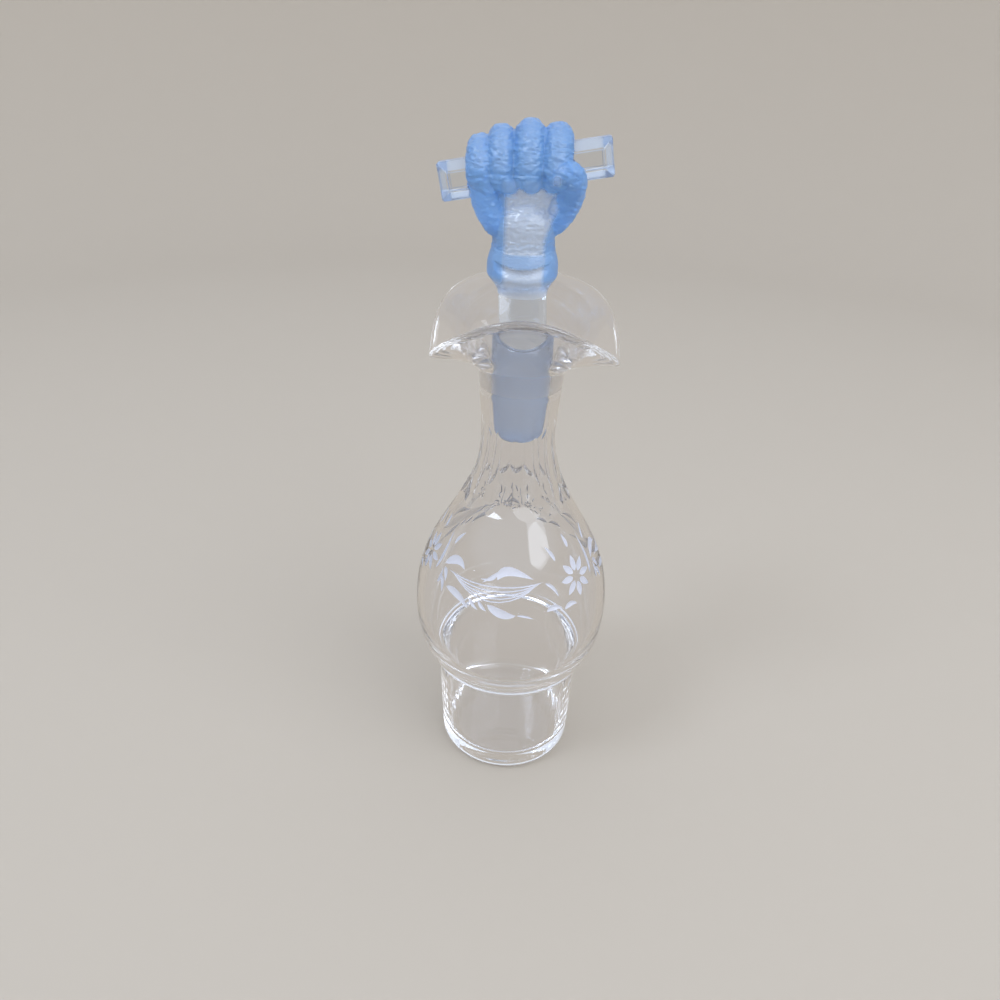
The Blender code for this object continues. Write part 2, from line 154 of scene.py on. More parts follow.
@dataclass(frozen=True)
class GlassFinish:
    """A glass: its tint, how its surface was finished, and the relief that this left.

    The relief's spacing and depth are real sizes. Where a clear tint and roughness are given, the
    vertex attribute "frost" blends from them, at 0, to the tint and roughness, at 1.
    """

    name: str
    tint: str
    roughness: float
    relief: Relief
    spacing: float
    depth: float
    transmission: float = 1.0
    ior: float = 1.51
    clear_tint: str = ""
    clear_roughness: float = 0.0

    def height(self, tree: bpy.types.NodeTree) -> bpy.types.NodeSocket:
        """Give the relief's height, from 0 to 1, on object coordinates counted in its spacing."""
        pattern = self.relief.value
        place = add_node(tree, "ShaderNodeTexCoord").outputs["Object"]
        laid = add_node(tree, "ShaderNodeMapping", {
            0: place, "Scale": Vector(pattern.stretch) / self.spacing})
        noise = add_node(tree, "ShaderNodeTexNoise", {
            "Vector": laid.outputs[0], "Scale": 1.0, "Detail": pattern.detail,
            "Distortion": pattern.distortion})
        return noise.outputs[0]

    def make(self) -> bpy.types.Material:
        """Make the material."""
        material = bpy.data.materials.new(self.name)
        material.use_nodes = True
        tree = material.node_tree
        shader = tree.nodes["Principled BSDF"]
        shader.inputs["Base Color"].default_value = linear(self.tint)
        shader.inputs["Roughness"].default_value = self.roughness
        shader.inputs["IOR"].default_value = self.ior
        shader.inputs["Transmission Weight"].default_value = self.transmission
        bump = add_node(tree, "ShaderNodeBump", {
            "Height": self.height(tree), "Distance": self.depth, "Strength": 1.0})
        tree.links.new(bump.outputs[0], shader.inputs["Normal"])
        if self.clear_tint:
            frost = add_node(tree, "ShaderNodeAttribute", attribute_name="frost").outputs["Fac"]
            blend = add_node(tree, "ShaderNodeMapRange", {
                "Value": frost, "To Min": self.clear_roughness, "To Max": self.roughness})
            tree.links.new(blend.outputs[0], shader.inputs["Roughness"])
            tint = add_node(tree, "ShaderNodeMix", {
                "Factor": frost, 6: linear(self.clear_tint), 7: linear(self.tint)},
                data_type="RGBA")
            tree.links.new(tint.outputs[2], shader.inputs["Base Color"])
        return material


# Blown soda-lime glass, fire polished: colourless, with the slow waves of hand-blown walls
BLOWN_GLASS = GlassFinish("blown_soda_glass_fire_polished", tint="fbfcff", roughness=0.0,
                          relief=Relief.SLOW_WAVES, spacing=9.0 * MM, depth=0.05 * MM)
# The foot, drawn in a dip mould: soft streaks run up its wall and make what is behind it swim
STREAKED_GLASS = GlassFinish("blown_soda_glass_drawn_streaks", tint="fbfcff", roughness=0.0,
                             relief=Relief.STREAKS, spacing=1.6 * MM, depth=0.08 * MM)
# The socket, ground with abrasive: an even haze with fine rings round the bore
GROUND_SOCKET = GlassFinish("soda_glass_ground_socket", tint="fafbff", roughness=0.3,
                            relief=Relief.RINGS, spacing=0.5 * MM, depth=0.02 * MM,
                            transmission=0.9)
# Wheel engraving left unpolished: a pale matte that catches light on its grain; its faint lavender
# tint is painted sky light
WHEEL_CUT = GlassFinish("soda_glass_wheel_cut_matte", tint="ecf0ff", roughness=0.6,
                        relief=Relief.GRAIN, spacing=0.35 * MM, depth=0.03 * MM,
                        transmission=0.5)
# Pressed glass etched to a satin: sky blue, its skin in fine ripples that run across
SATIN_GLASS = GlassFinish("pressed_glass_satin_etched", tint="88bcf6", roughness=0.35,
                          relief=Relief.RIPPLES, spacing=0.55 * MM, depth=0.14 * MM,
                          transmission=0.6, clear_tint="e2eaf4", clear_roughness=0.05)
# The plug, ground with abrasive to fit: whiter and more even than the satin
GROUND_PLUG = GlassFinish("pressed_glass_ground_plug", tint="e2eeff", roughness=0.5,
                          relief=Relief.RINGS, spacing=0.5 * MM, depth=0.02 * MM,
                          transmission=0.65)
# Pressed glass as it left the mould, fire polished: nearly colourless, with a blue cast
PRESSED_GLASS = GlassFinish("pressed_glass_fire_polished", tint="eaf3ff", roughness=0.0,
                            relief=Relief.SLOW_WAVES, spacing=5.0 * MM, depth=0.03 * MM)
# The bar's faces, pressed flat and polished: clear, and even enough to look through
PRESSED_FACETS = GlassFinish("pressed_glass_polished_facets", tint="eef5ff", roughness=0.0,
                             relief=Relief.SLOW_WAVES, spacing=4.0 * MM, depth=0.01 * MM)
# The bar's other faces, which the mould left with a faint bloom: pale blue round the clear window
PRESSED_BLOOM = GlassFinish("pressed_glass_mould_bloom", tint="d4e6ff", roughness=0.22,
                            relief=Relief.GRAIN, spacing=0.6 * MM, depth=0.02 * MM,
                            transmission=0.75)


@dataclass(frozen=True)
class CovePaint:
    """Matte paint of the floor and wall, which also glows where the camera or the glass sees it.

    The wall fades from the floor's tone to a lighter one between two levels.
    """

    name: str
    tone: str
    high_tone: str
    low_level: float
    high_level: float
    glow: float
    glow_through_glass: float
    roughness: float = 0.9

    def make(self) -> bpy.types.Material:
        """Make the material."""
        material = bpy.data.materials.new(self.name)
        material.use_nodes = True
        tree = material.node_tree
        shader = tree.nodes["Principled BSDF"]
        shader.inputs["Roughness"].default_value = self.roughness
        place = add_node(tree, "ShaderNodeTexCoord").outputs["Object"]
        level = add_node(tree, "ShaderNodeSeparateXYZ", {0: place}).outputs["Z"]
        height = add_node(tree, "ShaderNodeMapRange", {
            "Value": level, "From Min": self.low_level, "From Max": self.high_level},
            interpolation_type="SMOOTHSTEP")
        fade = add_node(tree, "ShaderNodeMix", {
            "Factor": height.outputs[0], 6: linear(self.tone), 7: linear(self.high_tone)},
            data_type="RGBA")
        tree.links.new(fade.outputs[2], shader.inputs["Base Color"])
        glow = add_node(tree, "ShaderNodeEmission", {"Color": fade.outputs[2]})
        path = add_node(tree, "ShaderNodeLightPath")
        glass = add_node(tree, "ShaderNodeMath", {
            0: path.outputs["Is Glossy Ray"], 1: path.outputs["Is Transmission Ray"]},
            operation="MAXIMUM")
        through = add_node(tree, "ShaderNodeMath", {
            0: glass.outputs[0], 1: self.glow_through_glass}, operation="MULTIPLY")
        seen = add_node(tree, "ShaderNodeMath", {0: path.outputs["Is Camera Ray"], 1: self.glow},
                        operation="MULTIPLY")
        share = add_node(tree, "ShaderNodeMath", {0: through.outputs[0], 1: seen.outputs[0]},
                         operation="MAXIMUM")
        mix = add_node(tree, "ShaderNodeMixShader", {
            0: share.outputs[0], 1: shader.outputs[0], 2: glow.outputs[0]})
        tree.links.new(mix.outputs[0], tree.nodes["Material Output"].inputs["Surface"])
        return material


# Pale warm grey emulsion paint, matte enough to show no reflection of the lamps
COVE_PAINT = CovePaint("matte_emulsion_paint", tone="beb5a9", high_tone="ebf0f7", low_level=0.3,
                       high_level=0.5, glow=0.3, glow_through_glass=0.8)


def bezier(start: Pair, start_handle: Pair, end_handle: Pair, end: Pair, steps: int) -> list[Pair]:
    """List the points of a Bezier stretch whose knots are radius and height pairs."""
    knots = [Vector((radius, 0, height))
             for radius, height in (start, start_handle, end_handle, end)]
    return [(point.x, point.z) for point in interpolate_bezier(*knots, steps + 1)]


def swerve(start: Pair, end: Pair, start_share: float, end_share: float, steps: int) -> list[Pair]:
    """List the points of an S-shaped stretch that is upright at both ends.

    Args:
        start: Radius and height of its first point.
        end: Radius and height of its last point.
        start_share: Length of the first handle, as a share of the stretch's height.
        end_share: Length of the last handle, as a share of the stretch's height.
        steps: How many parts it is divided into.

    Returns:
        Radius and height pairs.
    """
    height = end[1] - start[1]
    return bezier(start, (start[0], start[1] + start_share * height),
                  (end[0], end[1] - end_share * height), end, steps)


def straight(start: Pair, end: Pair, steps: int) -> list[Pair]:
    """List the points of a straight stretch, without its start."""
    return [(start[0] + (end[0] - start[0]) * step / steps,
             start[1] + (end[1] - start[1]) * step / steps) for step in range(1, steps + 1)]


def arc(middle: Pair, radius: float, start: float, end: float, steps: int) -> list[Pair]:
    """List the points of an arc between two angles in degrees, in the profile's plane."""
    angles = [math.radians(start + (end - start) * step / steps) for step in range(steps + 1)]
    return [(middle[0] + radius * math.cos(angle), middle[1] + radius * math.sin(angle))
            for angle in angles]


def quadratic(start: Vector, handle: Vector, end: Vector, share: float) -> Vector:
    """Give a point on a curve with one handle."""
    return start.lerp(handle, share).lerp(handle.lerp(end, share), share)


def around(radius: float, degrees: float, height: float) -> Vector:
    """Give the place at a radius, an angle from the front and a height."""
    angle = math.radians(degrees)
    return Vector((radius * math.sin(angle), -radius * math.cos(angle), height))


def ring(point: Pair, angles: list[float]) -> list[Vector]:
    """List the places that a radius and height pair passes as it turns round the axis."""
    radius, height = point
    return [around(radius, angle, height) for angle in angles]


def bell(value: float, width: float) -> float:
    """Give 1 where a value is 0, falling softly to nothing over a few widths."""
    return math.exp(-(value / width) ** 2)


def smooth_share(value: float, low: float, high: float) -> float:
    """Give how far a value has come from low to high, from 0 to 1, eased at both ends."""
    share = min(max((value - low) / (high - low), 0.0), 1.0)
    return share * share * (3 - 2 * share)


def past(value: float, border: float, softness: float) -> float:
    """Give how far a value has passed a border, from 0 to 1, eased over a softness either side."""
    return smooth_share(value, border - softness, border + softness)


def add_object(name: str, mesh: bpy.types.Mesh) -> bpy.types.Object:
    """Put a mesh in the scene under a name."""
    item = bpy.data.objects.new(name, mesh)
    bpy.context.scene.collection.objects.link(item)
    return item


def settle(item: bpy.types.Object) -> bpy.types.Mesh:
    """Turn what an object's modifiers make into its plain mesh.

    Args:
        item: An object with live modifiers, which are then removed.

    Returns:
        The object's new mesh.
    """
    bpy.context.view_layer.update()
    evaluated = item.evaluated_get(bpy.context.evaluated_depsgraph_get())
    mesh = bpy.data.meshes.new_from_object(evaluated)
    item.modifiers.clear()
    item.data = mesh
    return mesh


def loft(sections: list[list[Vector]]) -> bmesh.types.BMesh:
    """Make a skin over sections that run round and have equally many points.

    Args:
        sections: The sections' points, section after section.

    Returns:
        The open skin, whose faces run in the order of the sections.
    """
    work = bmesh.new()
    rows = [[work.verts.new(point) for point in section] for section in sections]
    count = len(sections[0])
    for low, high in zip(rows, rows[1:]):
        for index in range(count):
            after = (index + 1) % count
            work.faces.new((low[index], low[after], high[after], high[index]))
    return work


def finish_mesh(work: bmesh.types.BMesh, name: str) -> bpy.types.Mesh:
    """Merge a skin's doubles, turn its faces outwards and make it a mesh."""
    bmesh.ops.remove_doubles(work, verts=work.verts, dist=MERGE_DISTANCE)
    bmesh.ops.recalc_face_normals(work, faces=work.faces)
    mesh = bpy.data.meshes.new(name)
    work.to_mesh(mesh)
    work.free()
    return mesh


def log_piece(item: bpy.types.Object) -> None:
    """Log a finished piece's size and whether its skin is closed."""
    work = bmesh.new()
    work.from_mesh(item.data)
    gaps = sum(len(edge.link_faces) != 2 for edge in work.edges)
    triangles = sum(len(face.verts) - 2 for face in work.faces)
    LOG.info("%s: %d triangles, %d open edges, volume %.2f ml", item.name, triangles, gaps,
             work.calc_volume() * ML_IN_CUBIC_METRE)
    work.free()


class WallLine:
    """The outer side of a turned wall, read as a radius at each height."""

    slope_step = 0.5 * MM

    def __init__(self, points: list[Pair]) -> None:
        """Keep the radius and height pairs, lowest first."""
        self.points = points
        self.heights = [height for _, height in points]

    def radius(self, height: float) -> float:
        """Give the radius at a height."""
        index = min(max(bisect.bisect(self.heights, height), 1), len(self.points) - 1)
        (low_radius, low), (high_radius, high) = self.points[index - 1], self.points[index]
        return low_radius + (high_radius - low_radius) * (height - low) / (high - low)

    def slope(self, height: float) -> float:
        """Give how fast the radius grows with the height."""
        step = self.slope_step
        return (self.radius(height + step) - self.radius(height - step)) / (2 * step)

    def outward(self, degrees: float, height: float) -> Vector:
        """Give the wall's outward direction at an angle and a height."""
        return around(1.0, degrees, -self.slope(height)).normalized()


@dataclass
class EngravedCut:
    """One cut of the engraver's wheel, from a start past a bend to an end.

    Places are an angle and a height; width and depth are in metres.
    """

    wall: WallLine
    start: Pair
    bend: Pair
    end: Pair
    width: float
    depth: float
    shape: CutShape = CutShape.LEAF
    steps: int = 10
    line_taper: float = 12.0
    leaf_lean: float = 0.8
    leaf_fullness: float = 0.8
    surface: Surface = Surface.WHEEL_CUT
    skin: Skin = Skin.MESH
    level: float = field(init=False)
    per_degree: float = field(init=False)
    slant: float = field(init=False)
    knots: list[Vector] = field(init=False)

    def __post_init__(self) -> None:
        """Lay the cut's middle line out flat round its own middle height."""
        self.level = (self.start[1] + self.end[1]) / 2
        self.per_degree = math.radians(1) * self.wall.radius(self.level)
        self.slant = math.hypot(1, self.wall.slope(self.level))
        start, bend, end = (self.flat(place) for place in (self.start, self.bend, self.end))
        handle = 2 * bend - (start + end) / 2
        self.knots = [quadratic(start, handle, end, step / self.steps)
                      for step in range(self.steps + 1)]

    def flat(self, place: Pair) -> Vector:
        """Turn an angle and a height into flat metres."""
        return Vector((place[0] * self.per_degree, (place[1] - self.level) * self.slant))

    def back(self, point: Vector) -> Pair:
        """Turn flat metres into an angle and a height."""
        return point.x / self.per_degree, point.y / self.slant + self.level

    def half_width(self, share: float) -> float:
        """Give half the cut's width at a share of its length."""
        share = min(max(share, 0.0), 1.0)
        if self.shape is CutShape.LINE:
            swell = min(1.0, self.line_taper * share, self.line_taper * (1 - share))
        else:
            swell = math.sin(math.pi * share ** self.leaf_lean) ** self.leaf_fullness
        return self.width / 2 * swell

    def spine(self) -> list[Pair]:
        """List the places along the middle line, where the cut is deepest."""
        return [self.back(knot) for knot in self.knots]

    def outline(self) -> list[Pair]:
        """List the places round the cut's edge."""
        left, right = [], []
        for index in range(1, self.steps):
            run = (self.knots[index + 1] - self.knots[index - 1]).normalized()
            side = Vector((-run.y, run.x)) * self.half_width(index / self.steps)
            left.append(self.back(self.knots[index] + side))
            right.append(self.back(self.knots[index] - side))
        return [self.start, *right, self.end, *reversed(left)]

    def depth_at(self, place: Pair) -> float:
        """Give how deep the cut is at a place, 0 outside it."""
        point = self.flat(place)
        best, nearest = 0.0, math.inf
        for index in range(self.steps):
            start, run = self.knots[index], self.knots[index + 1] - self.knots[index]
            share = min(max((point - start).dot(run) / run.length_squared, 0.0), 1.0)
            away = (point - start - run * share).length
            if away < nearest:
                nearest, best = away, (index + share) / self.steps
        half = self.half_width(best)
        if half <= 0 or nearest >= half:
            return 0.0
        return self.depth * (1 - (nearest / half) ** 2) * half / (self.width / 2)


@dataclass
class Flute:
    """One flat panel cut down the neck, with rounded ends, centred on its sector's angle 0."""

    wall: WallLine
    bottom: float
    top: float
    half_angle: float
    bottom_round: float
    top_round: float
    scoop: float
    scoop_length: float
    steps: int = 8
    side_steps: int = 24
    least_half: float = 1.0
    slope_step: float = 0.2 * MM
    surface: Surface = Surface.POLISHED
    skin: Skin = Skin.FLUTE

    def half(self, height: float) -> float:
        """Give half the panel's width at a height, in degrees."""
        low = 1 - min(max((height - self.bottom) / self.bottom_round, 0.0), 1.0)
        high = 1 - min(max((self.top - height) / self.top_round, 0.0), 1.0)
        return self.half_angle * math.sqrt(max(0.0, 1 - max(low, high) ** 2))

    def distance(self, height: float) -> float:
        """Give the panel's distance from the bottle's axis at a height."""
        return self.wall.radius(height) * math.cos(math.radians(self.half(height)))

    def radius(self, degrees: float, height: float) -> float:
        """Give the radius of the panel at an angle off its middle, scooped out near its end."""
        share = min(max((height - self.bottom) / self.scoop_length, 0.0), 1.0)
        half = max(self.half(height), self.least_half)
        hollow = self.scoop * math.sin(math.pi * share) * max(0.0, 1 - (degrees / half) ** 2)
        return self.distance(height) / math.cos(math.radians(degrees)) - hollow

    def outward(self, degrees: float, height: float) -> Vector:
        """Give the panel's outward direction at an angle off its middle and a height."""
        step = self.slope_step
        turn = math.degrees(step / self.wall.radius(height))
        side = (around(self.radius(degrees + turn, height), degrees + turn, height)
                - around(self.radius(degrees - turn, height), degrees - turn, height))
        up = (around(self.radius(degrees, height + step), degrees, height + step)
              - around(self.radius(degrees, height - step), degrees, height - step))
        return side.cross(up).normalized()

    def spine(self) -> list[Pair]:
        """List no places: the panel is flat across."""
        return []

    def outline(self) -> list[Pair]:
        """List the places round the panel's edge, closer together round its two ends."""
        quarter = [1 - math.cos(math.pi / 2 * step / self.steps)
                   for step in range(1, self.steps + 1)]
        low = [self.bottom + self.bottom_round * share for share in quarter]
        high = [self.top - self.top_round * share for share in quarter]
        middle = [low[-1] + (high[-1] - low[-1]) * step / self.side_steps
                  for step in range(1, self.side_steps)]
        levels = low + middle + high[::-1]
        right = [(self.half(level), level) for level in levels]
        left = [(-self.half(level), level) for level in reversed(levels)]
        return [(0.0, self.bottom), *right, (0.0, self.top), *left]

    def depth_at(self, place: Pair) -> float:
        """Give how far the panel lies inside the wall at a place, 0 outside it."""
        degrees, height = place
        if not self.bottom < height < self.top or abs(degrees) >= self.half(height):
            return 0.0
        return self.wall.radius(height) - self.radius(degrees, height)


@dataclass
class CarvedSector:
    """A sector of the outer wall with cuts in it, which is then repeated round the axis.

    The wall is laid out flat, the cuts' outlines are let into a triangle net, and the net is put
    back on the wall with the cuts sunk in. Its border keeps an even grid, so that copies meet.
    """

    name: str
    wall: WallLine
    left: float
    right: float
    bottom: float
    top: float
    rows: int
    columns: int
    cuts: list[EngravedCut | Flute]
    clear_of_cuts: float

    def flat(self, place: Pair) -> Vector:
        """Lay an angle and a height out flat, in metres."""
        scale = math.radians(1) * self.wall.radius((self.bottom + self.top) / 2)
        return Vector((place[0] * scale, place[1]))

    def net(self) -> tuple[list[Pair], list[Pair], list[list[int]]]:
        """Make the net's places, and the numbers of those along its spines and its outlines."""
        places, edges, outlines = [], [], []
        for cut in self.cuts:
            first = len(places)
            places += cut.outline()
            outlines.append(list(range(first, len(places))))
            spine = cut.spine()[1:-1]
            if spine:
                end = first + len(spine) + 1
                chain = [first, *range(len(places), len(places) + len(spine)), end]
                places += spine
                edges += list(zip(chain, chain[1:]))
        near = kdtree.KDTree(len(places))
        for index, place in enumerate(places):
            near.insert(self.flat(place).to_3d(), index)
        near.balance()
        for row in range(self.rows + 1):
            height = self.bottom + (self.top - self.bottom) * row / self.rows
            for column in range(self.columns + 1):
                place = (self.left + (self.right - self.left) * column / self.columns, height)
                on_border = row in (0, self.rows) or column in (0, self.columns)
                if on_border or near.find(self.flat(place).to_3d())[2] > self.clear_of_cuts:
                    places.append(place)
        return places, edges, outlines

    def sink(self, place: Pair, owners: set[int]) -> Vector:
        """Give the place on the wall, or in the deepest of the cuts that own it."""
        degrees, height = place
        wall_place = around(self.wall.radius(height), degrees, height)
        depths = [(self.cuts[owner].depth_at(place), owner) for owner in owners]
        depth, owner = max(depths, default=(0.0, 0))
        if depth <= 0:
            return wall_place
        if self.cuts[owner].skin is Skin.FLUTE:
            return wall_place - around(depth, degrees, 0)
        return wall_place - self.wall.outward(degrees, height) * depth

    def build(self) -> bpy.types.Object:
        """Build the sector, whose faces carry their surface and skin numbers.

        Returns:
            An object that is only there to be repeated.
        """
        places, edges, outlines = self.net()
        points, _, faces, _, _, owners = delaunay_2d_cdt(
            [self.flat(place) for place in places], edges, outlines, 0, MERGE_DISTANCE)
        scale = self.flat((1.0, 0.0)).x
        owned = [set() for _ in points]
        sides = {}
        for face, cuts in zip(faces, owners):
            for index, corner in enumerate(face):
                owned[corner].update(cuts)
                sides.setdefault(frozenset((corner, face[index - 1])), []).append(bool(cuts))
        mesh = bpy.data.meshes.new(self.name)
        mesh.from_pydata([self.sink((point.x / scale, point.y), owned[index])
                          for index, point in enumerate(points)], [], faces)
        tops = [self.cuts[max(cuts)] if cuts else None for cuts in owners]
        surface = mesh.attributes.new("surface", "INT", "FACE")
        surface.data.foreach_set("value", [top.surface if top else Surface.POLISHED
                                           for top in tops])
        skin = mesh.attributes.new("skin", "INT", "FACE")
        skin.data.foreach_set("value", [top.skin if top else Skin.TURNED for top in tops])
        rim = mesh.attributes.new("rim", "BOOLEAN", "EDGE")
        rim.data.foreach_set("value", [len(set(sides[frozenset(edge.vertices)])) == 2
                                       for edge in mesh.edges])
        return add_object(self.name, mesh)


@dataclass
class WallJoinery:
    """The Geometry Nodes tree that repeats the carved sectors and joins them to the plain shell."""

    name: str = "carved_sectors_round_the_axis"

    def repeated(self, tree: bpy.types.NodeTree, item: bpy.types.NodeSocket,
                 count: bpy.types.NodeSocket) -> bpy.types.NodeSocket:
        """Repeat an object's mesh evenly round the axis.

        Args:
            tree: The tree that gets the nodes.
            item: The object to repeat.
            count: How many times it goes round.

        Returns:
            The repeated geometry, as instances.
        """
        info = add_node(tree, "GeometryNodeObjectInfo", {"Object": item})
        points = add_node(tree, "GeometryNodePoints", {"Count": count})
        step = add_node(tree, "ShaderNodeMath", {0: math.tau, 1: count}, operation="DIVIDE")
        index = add_node(tree, "GeometryNodeInputIndex")
        turn = add_node(tree, "ShaderNodeMath", {0: index.outputs[0], 1: step.outputs[0]},
                        operation="MULTIPLY")
        rotation = add_node(tree, "FunctionNodeAxisAngleToRotation", {
            "Axis": (0, 0, 1), "Angle": turn.outputs[0]})
        placed = add_node(tree, "GeometryNodeInstanceOnPoints", {
            "Points": points.outputs[0], "Instance": info.outputs["Geometry"],
            "Rotation": rotation.outputs[0]})
        return placed.outputs[0]

    def build(self) -> bpy.types.NodeTree:
        """Build the tree, with named inputs for the sectors, their counts and the four finishes."""
        tree = bpy.data.node_groups.new(self.name, "GeometryNodeTree")
        wanted = [("Shell", "Geometry"), ("Band sector", "Object"), ("Band count", "Int"),
                  ("Neck sector", "Object"), ("Neck count", "Int"), ("Merge distance", "Float"),
                  ("Polished", "Material"), ("Wheel cut", "Material"), ("Ground", "Material"),
                  ("Streaked", "Material")]
        for name, kind in wanted:
            tree.interface.new_socket(name, in_out="INPUT", socket_type=f"NodeSocket{kind}")
        tree.interface.new_socket("Bottle", in_out="OUTPUT", socket_type="NodeSocketGeometry")
        given = add_node(tree, "NodeGroupInput").outputs
        joined = add_node(tree, "GeometryNodeJoinGeometry")
        tree.links.new(given["Shell"], joined.inputs[0])
        for item, count in (("Band sector", "Band count"), ("Neck sector", "Neck count")):
            tree.links.new(self.repeated(tree, given[item], given[count]), joined.inputs[0])
        real = add_node(tree, "GeometryNodeRealizeInstances", {0: joined.outputs[0]})
        merged = add_node(tree, "GeometryNodeMergeByDistance", {
            "Geometry": real.outputs[0], "Distance": given["Merge distance"]})
        last = merged.outputs[0]
        surface = add_node(tree, "GeometryNodeInputNamedAttribute", {"Name": "surface"},
                           data_type="INT")
        for name, number in (("Polished", Surface.POLISHED), ("Wheel cut", Surface.WHEEL_CUT),
                             ("Ground", Surface.GROUND), ("Streaked", Surface.STREAKED)):
            chosen = add_node(tree, "FunctionNodeCompare", {
                "A": surface.outputs[0], "B": int(number)}, data_type="INT", operation="EQUAL")
            last = add_node(tree, "GeometryNodeSetMaterial", {
                "Geometry": last, "Selection": chosen.outputs[0],
                "Material": given[name]}).outputs[0]
        add_node(tree, "NodeGroupOutput", {0: last})
        return tree


def add_tree(item: bpy.types.Object, tree: bpy.types.NodeTree, values: dict) -> None:
    """Give an object a Geometry Nodes modifier, its inputs set by their sockets' identifiers.

    Args:
        item: The object.
        tree: The tree.
        values: The inputs' values, by their names.
    """
    modifier = item.modifiers.new(tree.name, "NODES")
    modifier.node_group = tree
    for socket in tree.interface.items_tree:
        if socket.in_out == "INPUT" and socket.name in values:
            modifier[socket.identifier] = values[socket.name]


@dataclass
class SaddleLip:
    """The bottle's flared mouth, pinched into a saddle: two low spouts, a high back and front."""

    tube_radius: float
    tube_inner_radius: float
    tube_z: float
    tube_inner_z: float
    left_reach: float = 24.3 * MM
    right_reach: float = 25.5 * MM
    depth: float = 21.0 * MM
    squareness: float = 2.3
    spout_rise: float = 3.9 * MM
    back_rise: float = 17.0 * MM
    front_rise: float = 14.8 * MM
    rise_power: float = 1.5
    back_fullness: float = 0.3
    front_fullness: float = 20.0
    thickness: float = 1.6 * MM
    spout_thickness: float = 2.4 * MM
    throat_rise: float = 2.2 * MM
    throat_share: float = 0.3
    rim_drop_share: float = 0.25
    rows: int = 16
    rim_steps: int = 6

    def climb(self, degrees: float) -> float:
        """Give how far the rim stands above its level at the spouts, at an angle."""
        at_back = math.cos(math.radians(degrees)) < 0
        fullness = self.back_fullness if at_back else self.front_fullness
        rise = self.back_rise if at_back else self.front_rise
        swing = abs(math.cos(math.radians(degrees))) ** self.rise_power
        return rise * (1 + fullness) * swing / (swing + fullness)

    def section(self, degrees: float) -> list[Pair]:
        """List the lip's section at an angle, up its outside, over its rim and down its inside."""
        along = abs(math.sin(math.radians(degrees)))
        across = abs(math.cos(math.radians(degrees)))
        reach = self.right_reach if math.sin(math.radians(degrees)) > 0 else self.left_reach
        inverse = (along / reach) ** self.squareness + (across / self.depth) ** self.squareness
        climb = self.climb(degrees)
        thickness = self.spout_thickness + (self.thickness - self.spout_thickness) * across
        throat = Vector((self.tube_radius,
                         self.tube_z + self.throat_rise + self.throat_share * climb))
        edge = Vector((inverse ** (-1 / self.squareness) - thickness / 2,
                       self.tube_z + self.spout_rise - self.rim_drop_share * thickness + climb))
        run = (edge - throat).normalized() * thickness / 2
        inwards = Vector((-run.y, run.x))
        foot = Vector((self.tube_radius, self.tube_z))
        inner_foot = Vector((self.tube_inner_radius, self.tube_inner_z))
        shares = [row / self.rows for row in range(self.rows + 1)]
        points = [quadratic(foot, throat, edge - inwards, share) for share in shares]
        for step in range(1, self.rim_steps):
            angle = math.pi * step / self.rim_steps
            points.append(edge - inwards * math.cos(angle) + run * math.sin(angle))
        handle = throat + inner_foot - foot
        points += [quadratic(inner_foot, handle, edge + inwards, share)
                   for share in reversed(shares)]
        return [(point.x, point.y) for point in points]


